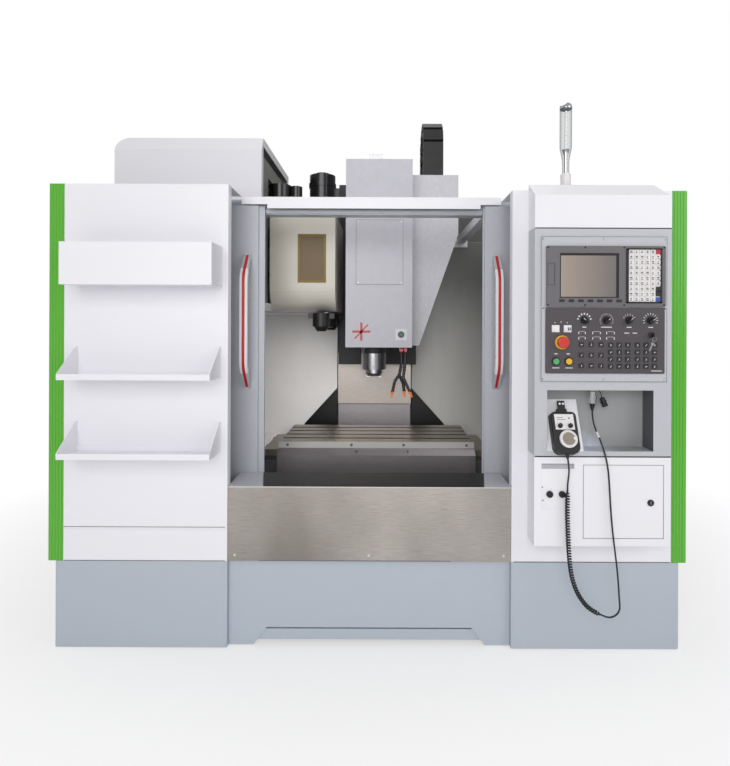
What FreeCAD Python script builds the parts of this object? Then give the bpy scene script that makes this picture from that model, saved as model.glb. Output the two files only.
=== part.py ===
import FreeCAD, Part
import math
import os

# Vertical machining centre, millimetres, +Z up, +Y to the back, origin on the floor under the middle.

# Overall
overall_width = 2366.0
overall_depth = 2200.0
shelf_reach = 125.0
front_y = -overall_depth / 2 + shelf_reach
rear_y = overall_depth / 2
half_width = overall_width / 2
work_x = 11.0
sheet = 3.0
seam = 0.6
seat = 0.3
slide_gap = 0.9

# Enclosure
base_top = 322.0
base_inset = 27.0
base_recess = 20.0
base_corner_radius = 40.0
floor_clearance = 4.0
left_top = 1716.0
right_top = 1698.0
enclosure_depth = 1780.0
opening_left = -517.0
opening_right = 533.0
trim_width = 60.0
trim_depth = 58.0
trim_flutes = 9
flange = 38.0
side_inset = 3.0
panel_seam_z = 440.0
apron_top = 598.0
apron_set = 4.0
notch_height = 64.0
notch_half_width = 382.0
notch_slope = 49.0

vent_rows = 9
vent_bottom = 1180.0
vent_pitch = 30.0
trim_groove = 2.6
door_mid_x = 17.5
leaf_clear = 16.0
beam_inset = 14.0
roller_thickness = 8.0
track_rail_top = 1668.0
tube_wall = 4.0
roof_bar = 40.0
roof_bar_x = 490.0
sill_front = 185.0
sill_depth = 50.0
screw_hole = 2.6
screw_edge = 22.0
apron_screws = (-490.0, 6.0, 505.0)

# Splash walls and chip pan
chamber_half_width = 880.0
back_wall_front = 1137.0
back_wall_bottom = 557.0
wall_top = 1680.0
wall_clear = 6.0
front_wall = 228.0
pan_edge = 500.0
pan_inner = 440.0
pan_drop = 432.0
pan_lip = 6.0
pan_break = 760.0
guard_bottom = 600.0
guard_height = 206.0
guard_width = 188.0
guard_thickness = 6.0
guard_rim = 12.0
guard_rim_depth = 16.0

# Door leaves and their tracks
leaf_front = 190.0
leaf_thickness = 22.0
leaf_bottom = 552.0
leaf_top = 1680.0
leaf_width = 560.0
leaf_step = 24.0
door_half_gap = 444.5
window_height = 640.0
window_width = 250.0
window_thickness = 6.0
track_rail_thickness = 6.0
track_rail_height = 14.0
roller_radius = 12.0
beam_tube = 60.0
beam_front = 180.0
beam_bottom = 1667.0
beam_height = 46.0
sill_top = 545.0
sill_height = 40.0
guide_width = 6.0
guide_depth = 16.0
handle_height = 548.0
handle_reach = 70.0
handle_width = 30.0
handle_thickness = 16.0
handle_z = 937.0
handle_bend = 90.0
handle_left_x = -493.0
handle_right_x = 514.0
leaf_rim = 24.0
window_from_edge = 190.0
window_bottom = 900.0
window_lap = 12.0

# Castings, guideways and drives
tank_width = 825.0
tank_length = 900.0
tank_height = 118.0
tank_front = 60.0
tank_rim = 8.0
castor_inset = 90.0
castor_radius = 16.0
foot_height = 165.0
foot_radius = 50.0
foot_spread = 485.0
foot_rows = (190.0, 940.0, 1690.0)
foot_pad = 25.0
stem_radius = 15.0
pump_wing = 410.0
pump_behind = 700.0
pump_radius = 55.0
pump_height = 210.0
pump_flange = 14.0
channel_half_width = 60.0
channel_depth = 40.0
rail_inset = 4.0
y_nut_drop = 26.0
x_nut_drop = 8.0
bed_half_width = 540.0
bed_side_top = 400.0
bed_length = 1621.7
bed_front = 120.0
bed_pad_top = 425.0
bed_wall = 40.0
bed_channel_depth = 55.0
rail_width = 30.0
rail_height = 30.0
carriage_width = 70.0
carriage_length = 110.0
carriage_end = carriage_length / 2 + 10
nut_length = 60.0
carriage_rise = 40.0
y_rail_spread = 230.0
x_rail_spread = 150.0
z_rail_spread = 150.0
screw_radius = 16.0
motor_width = 84.0
motor_length = 170.0
bearing_length = 40.0
spindle_from_front = 714.0
column_front = 1200.0
column_half_width = 280.0
column_depth_bottom = 535.0
column_depth_top = 360.0
column_top = 2010.0
column_arch_height = 110.0
column_arch_half_width = 310.0
column_arch_depth = 360.0
column_foot_half_width = 380.0
column_foot_top = 720.0
column_shoulder = 820.0
column_bays = 3
column_bay_pitch = 370.0
z_rail_bottom = 660.0
z_screw_out = 20.0
y_screw_z = 430.0

# Table and saddle
table_length = 900.0
table_width = 400.0
table_top = 651.0
table_thickness = 50.0
table_shift = 17.0
slot_count = 4
slot_pitch = 85.0
slot_width = 18.0
slot_depth = 30.0
slot_foot_width = 30.0
slot_foot_height = 13.0
saddle_half_length = 540.0
saddle_width = 430.0
saddle_height = 96.0
guard_strip_height = 29.0
guard_step_height = 25.0
guard_panel_height = 93.0
guard_step_out = 38.0
cover_ridge = 488.0
cover_edge = 462.0
cover_skirt = 436.0
cover_half_width = 300.0
cover_length = 228.0
cover_nest = 2.6
cover_sheet = 2.0
cover_front = 22.0
middle_cover_back = 120.0
middle_ridge_length = 261.0
rear_cover_length = 410.0
x_screw_z = 565.0
x_screw_radius = 14.0
x_motor_width = 60.0
x_runner_spread = 155.0
end_cover_length = 85.0
end_cover_drop = 26.0
end_cover_half_width = 169.0
guard_holes = (-63.0, 173.0)

# Column way covers
way_cover_front = 1128.0
way_cover_pitch = 3.1
way_cover_sheet = 2.5
way_cover_left = -203.0
way_cover_right = 221.0
head_cover_bottom = 731.0
head_cover_length = 299.0
middle_cover_bottom = 585.0
middle_cover_length = 415.0
fixed_cover_bottom = 496.0
fixed_cover_length = 294.0

# Head
hood_front = 530.0
hood_left = -120.0
hood_right = 194.0
hood_bottom = 1090.0
hood_top = 1977.0
access_width = 221.0
access_height = 305.0
access_bottom = 1386.0
slide_left = -190.0
slide_right = 243.0
slide_bottom = 973.0
slide_front = 1000.0
slide_depth = 120.0
wing_front = 660.0
wing_right = 428.0
wing_top = 1939.0
wing_slant_top = 1646.0
wing_slant_x = 236.0
wing_bottom = 1094.0
wing_depth = 240.0
quill_radius = 62.5
quill_flange_radius = 75.0
quill_bottom = 973.0
spindle_radius = 44.4
spindle_bottom = 940.0
taper_radius = 22.2
taper_length = 68.0
taper_slope = 7 / 48
spindle_nose_radius = 38.0
spindle_top = 1400.0
drive_key_width = 16.0
running_gap = 0.06
head_wall = 20.0
head_body_width = 200.0
head_body_front = 600.0
head_body_top = 1430.0
nose_gap = 10.0
web_back = 220.0
web_height = 380.0
quill_flange_height = 45.0
motor_flange = 20.0
z_nut_depth = 12.0
back_plate_half = 185.0
back_plate_bottom = 1240.0
back_plate_top = 1660.0
spindle_motor_radius = 88.0
spindle_motor_length = 400.0
access_inset = 49.0
plate_proud = 2.0
unclamp_x = 142.0
unclamp_z = 1151.0
unclamp_plate = 54.0
hose_root_x = 146.0
hose_behind = 650.0
hose_radius = 8.5
hose_tip = 30.0
hose_spacing = 22.0
hose_top = hood_bottom - 5
hose_routes = (((0, 0, hose_top), (3, -4, 1002), (-8, 0, 950), (-30, -6, 918), (-41, -10, 868)),
               ((hose_spacing, 4, hose_top), (20, 4, 1000), (12, 4, 935), (44, 0, 866)),
               ((-8, 0, 950), (12, 14, 905), (17, 16, 868)))
manifold_depth = 60.0
manifold_drop = 6.0
manifold_rise = 10.0
manifold_lap = 20.0
manifold_over = 40.0
valve_down = 10.0
chain_wall = 7.0
chain_pin_radius = 9.0
chain_pin_proud = 2.0
chain_width = 102.0
chain_depth = 60.0
chain_pitch = 63.0
chain_front = 760.0
chain_top = 2266.0
chain_left = 262.0
chain_rise_links = 7
chain_fall_links = 5
chain_bend_links = 5
chain_radius = chain_pitch / 2 / math.tan(math.pi / chain_bend_links / 2)
chain_centre_z = chain_top - chain_radius - chain_depth / 2

# Tool changer
magazine_front = 480.0
magazine_depth = 477.0
magazine_right = -165.0
magazine_bottom = 1258.0
magazine_top = 1715.0
magazine_roll = 110.0
disc_x = -600.0
disc_front = 634.0
disc_z = 1640.0
disc_radius = 290.0
disc_thickness = 40.0
pot_count = 16
pot_circle = 232.0
pot_radius = 38.0
pot_length = 120.0
arm_x = -227.0
arm_reach = 235.0
arm_top = 1250.0
arm_height = 62.0
arm_half_width = 60.0
arm_shaft_radius = 36.0
gearbox_left = -420.0
gearbox_right = -168.3
gearbox_front = 560.0
gearbox_depth = 300.0
gearbox_bottom = 1290.0
gearbox_top = 1760.0
gearbox_round = 18.0
drive_offset = 10.0
drive_width = 160.0
drive_front = 60.0
drive_height = 120.0
case_front = 310.0
case_depth = 647.0
case_left = -1097.0
case_right = -467.0
case_top = 2007.0
case_crease = 1946.0
case_slope = 36.0
case_corner_radius = 50.0
case_fold = 35.0
motor_gate_top = 1875.0
motor_gate_front = 65.0
motor_gate_back = 160.0
hub_bore = 30.0
hub_lap = 10.0
disc_hub_width = 25.0
arm_shaft_in = 190.0
arm_spigot = 20.0
arm_washer = 7.5
beam_low = 8.0
beam_high = 6.0
finger_depth = 24.0
collet_length = 24.0
bracket_width = 60.0
bracket_depth = 200.0
bracket_low = 110.0
bracket_high = 60.0
main_motor_x = -249.0
main_motor_radius = 64.0
main_motor_top = 1940.0
main_motor_forward = 14.0
motor_boss = 12.0
motor_band = (60.0, 40.0)
feed_motor_x = -435.0
feed_motor_radius = 53.0
feed_motor_top = 1855.0
twin_offset = 24.0
twin_radius = 28.0
window_left = -337.0
view_width = 130.0
view_bottom = 1390.0
view_height = 223.0
view_frame = 12.0

# Shelves
shelf_left = -1075.0
shelf_width = 532.0
shelf_lip = 21.0
shelf_side = 112.0
shelf_bottoms = (1003.0, 727.0)
tray_left = -1075.0
tray_bottom = 1335.0
tray_height = 148.0

# Operator pendant
pendant_left = 592.0
pendant_right = 1076.0
pendant_reach = 84.0
pendant_sheet = 2.5
cap_bottom = 1545.0
cap_crease = 1661.0
cap_top = 1718.0
cap_corner = 22.0
body_bottom = 737.0
pendant_bottom = 419.0
plate_left = 613.0
plate_right = 1058.0
plate_bottom = 1000.0
plate_top = 1514.0
plate_thickness = 4.0
recess_left = 637.0
recess_right = 1013.0
recess_bottom = 754.0
recess_top = 970.0
recess_depth = 78.0
display_left = 629.0
display_right = 1048.0
display_bottom = 1266.0
display_top = 1479.0
display_thickness = 8.0
screen_left = 676.0
screen_bottom = 1296.0
screen_width = 208.0
screen_height = 158.0
keyboard_left = 916.0
keyboard_bottom = 1282.0
keyboard_columns = 6
keyboard_rows = 10
keyboard_pitch_x = 19.0
keyboard_pitch_z = 18.6
console_bottom = 1030.0
console_top = 1263.0
console_thickness = 4.0
console_round = 5.0
plate_edge = 9.0
plate_screw = 4.0
stop_ring = 5.0
rocker_width = 27.0
rocker_height = 25.0
paddle_width = 21.0
paddle_height = 20.0
paddle_proud = 6.0
barrel_radius = 11.0
barrel_proud = 5.0
key_reach = 17.0
key_height = 15.0
knob_radius = 13.0
knob_height = 18.0
knob_z = 1217.5
knob_places = (764.0, 842.0, 921.0, 997.0)
stop_x = 685.5
stop_z = 1139.5
stop_radius = 20.0
start_x = 664.5
hold_x = 709.5
button_z = 1072.5
button_radius = 11.0
drawer_left = 767.0
drawer_right = 1049.0
drawer_bottom = 447.0
drawer_top = 705.0
drawer_fold = 6.0
lamp_x = 744.0
lamp_behind = 45.0
lamp_radius = 22.5
lamp_height = 339.0
lamp_foot = 8.0
lamp_neck = 30.0
lamp_cap = 25.0
slot_x = (618.0, 734.0)
slot_z = (692.0, 710.0)
switch_places = (646.0, 690.0)
switch_z = 603.0
switch_radius = 11.5
lock_x = 1004.0
lock_z = 573.0
wedge_right = 767.0
wedge_top = 929.0
socket_radius = 17.0
socket_proud = 6.0
button_room = 20.0
rocker_places = (662.5, 704.5)
rocker_z = 1187.5
key_x = 1000.0
key_z = 1166.0
soft_key_count = 7
soft_key_left = 683.0
soft_key_pitch = 33.5
soft_key_z = 1286.0
# Left key, step, columns, lowest row, step, rows of each group of console keys.
console_keys = (((754.0, 788.5, 823.0), (1058.0, 1095.0, 1132.0)),
                ((857.0, 887.0, 917.0), (1056.0, 1081.0, 1106.0, 1131.0)),
                ((951.0, 981.0, 1011.0), (1056.0, 1081.0, 1106.0, 1131.0)))
key_size = 16.0
card_left = 633.0
card_width = 26.0
card_bottom = 1341.0
card_height = 74.0
knob_turns = {"mode_knob": -50, "feed_knob": 45, "spindle_knob": 35, "rapid_knob": 55}
stop_stem_radius = 10.0
stop_stem_depth = 8.0
stop_head_height = 14.0
stop_round = 5.0
panel_button = (7.0, 6.0)
head_button = (6.0, 8.0)
stop_travel = 4.0

# Handwheel unit and its cord; the routes are X, distance behind the front sheets, Z
unit_x = 701.0
unit_width = 90.0
unit_bottom = 741.0
unit_foot_behind = -90.5
unit_height = 149.0
unit_thickness = 34.0
unit_foot_round = 26.0
unit_head_round = 16.0
unit_front_round = 4.0
neck_width = 34.0
neck_rise = 12.0
neck_set = 8.0
hook_width = 26.0
hook_rise = 42.0
hook_set = 10.0
hook_thickness = 6.0
stud_up = 30.0
stud_spread = 12.0
stud_head = 4.0
face_plate_width = 68.0
face_plate_height = 55.0
face_plate_down = 10.0
selector_spread = 36.0
selector_down = 52.0
selector_radius = 8.0
selector_height = 9.0
selector_pointer = (4.0, 14.0)
gland_radii = (7.0, 5.0)
gland_length = 14.0
dial_thickness = 9.0
dial_rim_round = 3.0
dial_shaft_radius = 6.0
dial_shaft_depth = 10.0
finger_share = 0.62
finger_radius = 5.0
finger_height = 6.0
dial_offset = 5.0
dial_up = 50.5
dial_radius = 31.0
plug_x = 812.0
plug_behind = -45.0
plug_bottom = 894.0
plug_top = 962.0
plug_radius = 13.0
plug_nut_radius = 14.5
plug_nut_up = 40.0
plug_nut_height = 12.0
relief_radius = 11.0
relief_length = 26.0
cord_in_plug = 9.0
cord_diameter = 6.0
coil_diameter = 17.5
coil_pitch = 9.0
coil_end = 14.0
coil_samples = 48
upper_route = ((701.0, -111.4, 735.8), (701.0, -120.3, 716.0), (703.0, -119.0, 693.0),
               (704.5, -110.0, 670.0),
               (704.1, -102.2, 645.0))
coil_route = ((704.0, -102.0, 620.0), (703.0, -102.0, 548.0), (706.0, -102.0, 470.0),
              (710.0, -101.0, 395.0),
              (718.0, -100.0, 327.0), (736.0, -99.0, 268.0), (765.0, -98.0, 223.0), (793.0, -97.0, 198.0),
              (824.0, -96.0, 184.0))
lower_route = ((847.7, -96.0, 173.3), (867.6, -96.0, 175.3), (883.8, -96.5, 187.0), (892.0, -97.0, 205.2),
               (888.4, -97.5, 241.0), (884.8, -98.0, 298.0), (878.8, -99.0, 356.0), (870.8, -100.0, 414.0),
               (863.4, -101.0, 472.0), (857.4, -101.4, 530.0), (853.6, -101.2, 588.0), (851.0, -100.0, 644.0),
               (847.0, -99.0, 697.0), (840.0, -92.0, 745.0), (830.0, -76.0, 790.0), (818.0, -55.0, 830.0),
               (812.0, -45.0, 868.0), (812.0, -45.0, 902.7))

# Electrical cabinet on the back
cabinet_left = -540.0
cabinet_width = 1100.0
cabinet_bottom = 300.0
cabinet_height = 1600.0
cabinet_door_thickness = 16.0
switch_reach = 17.0
hinge_out = 8.0
hinge_radius = 6.0
hinge_length = 38.0
hinge_places = tuple(cabinet_bottom + cabinet_height * share for share in (0.1125, 0.475, 0.8375))
cabinet_rows = 4
devices_per_row = 6
board_inset = 40.0
stud_radius = 8.0
board_layer = (0.05, 0.062)
rail_layer = (0.062, 0.09)
device_share = 0.27
cabinet_switch_z = 1500.0
cabinet_switch_in = 120.0
switch_disc = 38.0
switch_disc_height = 5.0
switch_grip = (16.0, 62.0)
switch_hub = 22.0
latch_z = 1080.0
latch_in = 35.0
latch_plate = (28.0, 130.0)
latch_grip = (16.0, 96.0)
latch_thickness = 4.0
latch_reach = 13.0



def behind(distance):
    """The Y of a plane that lies this far behind the front sheets."""
    return front_y + distance


def place(axis, a, b, along):
    """The point whose outline coordinates are a and b, seen along the axis."""
    if axis == "x":
        return FreeCAD.Vector(along, a, b)
    if axis == "y":
        return FreeCAD.Vector(a, along, b)
    return FreeCAD.Vector(a, b, along)


def block(x, y, z):
    corner = FreeCAD.Vector(x[0], y[0], z[0])
    return Part.makeBox(x[1] - x[0], y[1] - y[0], z[1] - z[0], corner)


def prism(outline, axis, span):
    corners = [place(axis, a, b, span[0]) for a, b in outline]
    face = Part.Face(Part.makePolygon(corners + corners[:1]))
    return face.extrude(place(axis, 0, 0, span[1] - span[0]))


def rod(axis, centre, radius, span):
    start = place(axis, centre[0], centre[1], span[0])
    return Part.makeCylinder(radius, span[1] - span[0], start, place(axis, 0, 0, 1))


def join(shapes):
    return shapes[0].fuse(shapes[1:]).removeSplitter()


def around(centre, width):
    return (centre - width / 2, centre + width / 2)


def deep(near, far):
    return (behind(near), behind(far))


def tray(x, y, z, wall, open_side):
    """A box of sheet that is open on one side: front, back, top, bottom, left or right."""
    low = [x[0] + wall, y[0] + wall, z[0] + wall]
    high = [x[1] - wall, y[1] - wall, z[1] - wall]
    side, end = {"left": (0, 0), "right": (0, 1), "front": (1, 0),
                 "back": (1, 1), "bottom": (2, 0), "top": (2, 1)}[open_side]
    if end == 0:
        low[side] -= 2 * wall
    else:
        high[side] += 2 * wall
    room = block((low[0], high[0]), (low[1], high[1]), (low[2], high[2]))
    return block(x, y, z).cut(room)


def arc_points(centre, radius, first, last, steps):
    angles = [math.radians(first + (last - first) * i / steps) for i in range(steps + 1)]
    return [(centre[0] + radius * math.cos(a), centre[1] + radius * math.sin(a)) for a in angles]


def save(node, *shapes):
    solids = [solid for shape in shapes for solid in shape.Solids]
    whole = solids[0] if len(solids) == 1 else Part.makeCompound(solids)
    whole.exportStep(f"parts/{node}.step")
    print(node, len(solids), round(whole.Volume / 1e6, 3))


def round_edge(solid, radius, axis, a, b):
    """Round the edges that run along the axis through outline point (a, b)."""
    spots = {"x": lambda p: (p.y, p.z), "y": lambda p: (p.x, p.z), "z": lambda p: (p.x, p.y)}
    spot = spots[axis]

    def runs_there(edge):
        ends = [spot(vertex.Point) for vertex in edge.Vertexes]
        return all(abs(u - a) < 0.01 and abs(v - b) < 0.01 for u, v in ends)

    return solid.makeFillet(radius, [edge for edge in solid.Edges if runs_there(edge)])


def base_covers():
    upright = (floor_clearance, base_top)

    def corner_cover(outer, inner):
        inward = 1 if inner > outer else -1
        span = sorted((outer, inner))
        shell = round_edge(block(span, deep(0, enclosure_depth), upright),
                           base_corner_radius, "z", outer, behind(0))
        wall = outer + inward * sheet
        room_x = sorted((wall, inner + inward * sheet))
        room = round_edge(block(room_x, deep(sheet, enclosure_depth + sheet), (0, base_top + sheet)),
                          base_corner_radius - sheet, "z", wall, behind(sheet))
        return_x = sorted((inner, inner - inward * sheet))
        edge_fold = block(return_x, deep(0, base_recess + flange), upright)
        top_x = sorted((wall, inner - inward * sheet))
        top_fold = block(top_x, deep(base_corner_radius, base_corner_radius + flange),
                         (base_top - sheet, base_top))
        brace = block(top_x, deep(base_corner_radius, base_corner_radius + sheet),
                      (base_top - flange, base_top))
        brace_front = block(top_x, deep(sheet, base_corner_radius), (base_top - sheet, base_top))
        keep = round_edge(block(span, deep(0, enclosure_depth), upright),
                          base_corner_radius, "z", outer, behind(0))
        folds = join([top_fold, brace, brace_front]).common(keep)
        return join([shell.cut(room), edge_fold, folds])

    outer = half_width - base_inset
    left = opening_left + seam
    right = opening_right - seam
    middle = (left + right) / 2
    sill = [(left, base_top), (left, floor_clearance)]
    sill += [(middle - notch_half_width - notch_slope, floor_clearance),
             (middle - notch_half_width, floor_clearance + notch_height),
             (middle + notch_half_width, floor_clearance + notch_height),
             (middle + notch_half_width + notch_slope, floor_clearance)]
    sill += [(right, floor_clearance), (right, base_top)]
    front = prism(sill, "y", deep(base_recess, base_recess + sheet))
    top = block((left, right), deep(base_recess, base_recess + flange), (base_top - sheet, base_top))
    save("base_covers", corner_cover(-outer, opening_left), join([front, top]),
         corner_cover(outer, opening_right))


def front_panels():
    outer = half_width - trim_width - seam
    pocket = deep(0, beam_front - seam)

    def panel(x, z, roofed):
        shell = tray(x, deep(0, flange), z, sheet, "back")
        if not roofed:
            return shell
        return join([shell, block(x, pocket, (z[1] - sheet, z[1]))])

    bottom = base_top + seam
    save("front_panels",
         panel((-outer, opening_left), (panel_seam_z + seam / 2, left_top), True),
         panel((-outer, opening_left), (bottom, panel_seam_z - seam / 2), False),
         panel((opening_right, outer), (bottom, right_top), True))


def side_panels():
    outer = half_width - side_inset
    bottom = base_top + seam
    along = deep(trim_depth + seam, enclosure_depth)
    left = tray((-outer, -outer + flange), along, (bottom, left_top), sheet, "right")
    right = tray((outer - flange, outer), along, (bottom, right_top), sheet, "left")
    reach = outer - flange - seam
    rear = tray((-reach, reach), deep(enclosure_depth - flange, enclosure_depth),
                (bottom, right_top), sheet, "front")
    vent_x = (cabinet_left + cabinet_width + 140, reach - 120)
    for row in range(vent_rows):
        z = vent_bottom + row * vent_pitch
        rear = rear.cut(block(vent_x, deep(enclosure_depth - 2 * sheet, enclosure_depth + sheet),
                              (z, z + vent_pitch / 3)))
    save("side_panels", left, right, rear)


def corner_trims():
    radius = trim_depth - 4
    inner = half_width - trim_width
    back = behind(trim_depth)
    fluted = []
    step = 90.0 / trim_flutes
    for flute in range(trim_flutes):
        start = 180 + flute * step
        fluted += [(start + 0.10 * step, radius), (start + 0.30 * step, radius - trim_groove),
                   (start + 0.55 * step, radius - trim_groove), (start + 0.75 * step, radius)]
    centre = (-half_width + radius, behind(radius))
    curve = [(centre[0] + r * math.cos(math.radians(a)), centre[1] + r * math.sin(math.radians(a)))
             for a, r in fluted]
    outline = [(-half_width, back)] + curve + [(-inner, behind(0)), (-inner, back)]
    mirrored = [(-x, y) for x, y in outline]
    save("corner_trims", prism(outline, "z", (base_top + seam, left_top)),
         prism(mirrored, "z", (base_top + seam, right_top)))


def door_tracks():
    reach = half_width - side_inset - sheet - seat
    beam_top = beam_bottom + beam_height
    left = opening_left + seam
    right = opening_right - seam
    side_low = beam_bottom + leaf_clear
    middle = (door_mid_x - door_half_gap + beam_inset, door_mid_x + door_half_gap - beam_inset)
    fascia = prism([(left, beam_top), (left, side_low), (middle[0], side_low), (middle[0], beam_bottom),
                    (middle[1], beam_bottom), (middle[1], side_low), (right, side_low), (right, beam_top)],
                   "y", deep(beam_front, beam_front + sheet))
    tube_front = leaf_front + leaf_thickness + roller_thickness + seam
    top = block((left, right), deep(beam_front, tube_front), (beam_top - sheet, beam_top))
    tube_z = (beam_top - sheet - beam_tube, beam_top - sheet)
    tube_right = half_width - side_inset - flange - seam
    tube = block((-reach, tube_right), deep(tube_front, tube_front + beam_tube), tube_z)
    hollow = block((-reach - 1, tube_right + 1),
                   deep(tube_front + tube_wall, tube_front + beam_tube - tube_wall),
                   (tube_z[0] + tube_wall, tube_z[1] - tube_wall))
    rail_z = (track_rail_top - track_rail_height, track_rail_top)
    rail = block((-reach + flange, reach - flange),
                 deep(tube_front - track_rail_thickness, tube_front), rail_z)
    bar_z = (tube_z[1] - roof_bar, tube_z[1])
    bar = block((roof_bar_x, roof_bar_x + roof_bar), deep(tube_front + beam_tube, back_wall_front - seat),
                bar_z)
    foot = block((roof_bar_x - roof_bar / 2, roof_bar_x + 1.5 * roof_bar),
                 deep(back_wall_front - 6, back_wall_front - seat), (bar_z[0] - roof_bar / 2, bar_z[1]))
    header = join([fascia, top, tube.cut(hollow), rail, bar, foot])
    sill = block((-reach, reach), deep(sill_front, sill_front + sill_depth),
                 (sill_top - sill_height, sill_top))
    groove_y = behind(leaf_front + leaf_thickness / 2)
    groove = block((-reach - 1, reach + 1), around(groove_y, guide_width + 2 * seam),
                   (sill_top - guide_depth - seam, sill_top + 1))
    save("door_tracks", header, sill.cut(groove))


def front_apron():
    left = opening_left + seam
    right = opening_right - seam
    low = base_top + seat
    face = block((left, right), deep(apron_set, apron_set + sheet), (low, apron_top))
    foot = block((left, right), deep(apron_set, base_recess + flange / 2), (low, low + sheet))
    lip = block((left, right), deep(apron_set, sill_front - seat), (apron_top - sheet, apron_top))
    drop = block((left, right), deep(sill_front - sheet - seat, sill_front - seat),
                 (sill_top - sill_height, apron_top))
    holes = [rod("y", (x, z), screw_hole, deep(0, apron_set + 2 * sheet))
             for x in apron_screws for z in (low + screw_edge,)]
    save("front_apron", join([face, foot, lip, drop]).cut(holes[0].fuse(holes[1:])))


def splash_walls():
    shapes = []
    tube_front = leaf_front + leaf_thickness + roller_thickness + seam
    track_room = block((-half_width, half_width), deep(0, tube_front + beam_tube + seam),
                       (beam_bottom + beam_height - sheet - beam_tube - seam, wall_top + 1))
    for side, top, edge in ((-1, magazine_bottom - 8, way_cover_left - wall_clear),
                            (1, wall_top, way_cover_right + wall_clear)):
        wall = side * chamber_half_width
        inner = wall - side * sheet
        cheek = block(sorted((wall, inner)), deep(sill_front + sill_depth + seat, back_wall_front),
                      (pan_inner - sheet, top))
        cheek = cheek.cut(track_room)
        bed_edge = work_x + side * bed_half_width
        lip = bed_edge + side * pan_lip
        cover_edge_x = work_x + side * (cover_half_width + wall_clear)
        back = prism([(wall, back_wall_bottom - sheet), (lip, back_wall_bottom - sheet),
                      (lip, bed_pad_top + seam),
                      (cover_edge_x, bed_pad_top + seam), (cover_edge_x, cover_ridge + wall_clear),
                      (edge, cover_ridge + wall_clear), (edge, top), (wall, top)],
                     "y", deep(back_wall_front, back_wall_front + sheet))
        rear_pan = prism([(behind(back_wall_front), back_wall_bottom),
                          (behind(pan_break), pan_inner),
                          (behind(pan_break), pan_inner - sheet),
                          (behind(back_wall_front), back_wall_bottom - sheet)],
                         "x", sorted((inner, lip)))
        side_pan = prism([(wall, pan_edge), (lip, pan_inner), (lip, pan_drop),
                          (lip + side * sheet, pan_drop),
                          (lip + side * sheet, pan_inner - sheet), (wall, pan_edge - sheet)],
                         "y", deep(front_wall, pan_break))
        step = prism([(wall, pan_edge), (lip, pan_inner), (lip, pan_inner - sheet),
                      (wall, pan_inner - sheet)],
                     "y", deep(pan_break - sheet, pan_break + sheet))
        shapes.append(join([cheek, back, rear_pan, side_pan, step]))
    gap = (work_x - cover_half_width - wall_clear, work_x + cover_half_width + wall_clear)
    front = block((-chamber_half_width, chamber_half_width), deep(front_wall - sheet, front_wall),
                  (pan_drop, sill_top - sill_height - seat))
    front = front.cut(block(gap, deep(0, front_wall + 1), (0, cover_ridge + wall_clear)))
    save("splash_walls", *shapes, front)


def column_guards():
    shapes = []
    for side, edge in ((-1, way_cover_left - wall_clear), (1, way_cover_right + wall_clear)):
        far = edge + side * guard_width
        plate = prism([(edge, guard_bottom), (edge, guard_bottom + guard_height), (far, guard_bottom)],
                      "y", deep(back_wall_front - seat - guard_thickness, back_wall_front - seat))
        shapes.append(plate)
        slope = guard_height / guard_width
        rise = guard_rim * math.hypot(1, slope)
        rim = prism([(edge, guard_bottom + guard_height + seat), (far, guard_bottom + seat),
                     (far, guard_bottom + seat + rise),
                     (edge, guard_bottom + guard_height + seat + rise)],
                    "y", deep(back_wall_front - seat - guard_rim_depth, back_wall_front - seat))
        shapes.append(rim)
    save("column_guards", *shapes)


def handle(x, face):
    """A bowed pull bar, drawn from the side and as wide as its grip."""
    low, high = handle_z, handle_z + handle_height
    far = face - handle_reach
    near = far + handle_thickness
    heel = handle_thickness * 1.5
    outline = [(face, low), (far, low + handle_bend), (far, high - handle_bend), (face, high),
               (face, high - heel), (near, high - handle_bend - heel / 3),
               (near, low + handle_bend + heel / 3), (face, low + heel)]
    bar = prism(outline, "x", around(x, handle_width))
    for y, z, radius in ((far, low + handle_bend, handle_bend), (far, high - handle_bend, handle_bend),
                         (near, high - handle_bend - heel / 3, handle_bend - handle_thickness),
                         (near, low + handle_bend + heel / 3, handle_bend - handle_thickness)):
        bar = round_edge(bar, radius, "x", y, z)
    return bar


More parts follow.
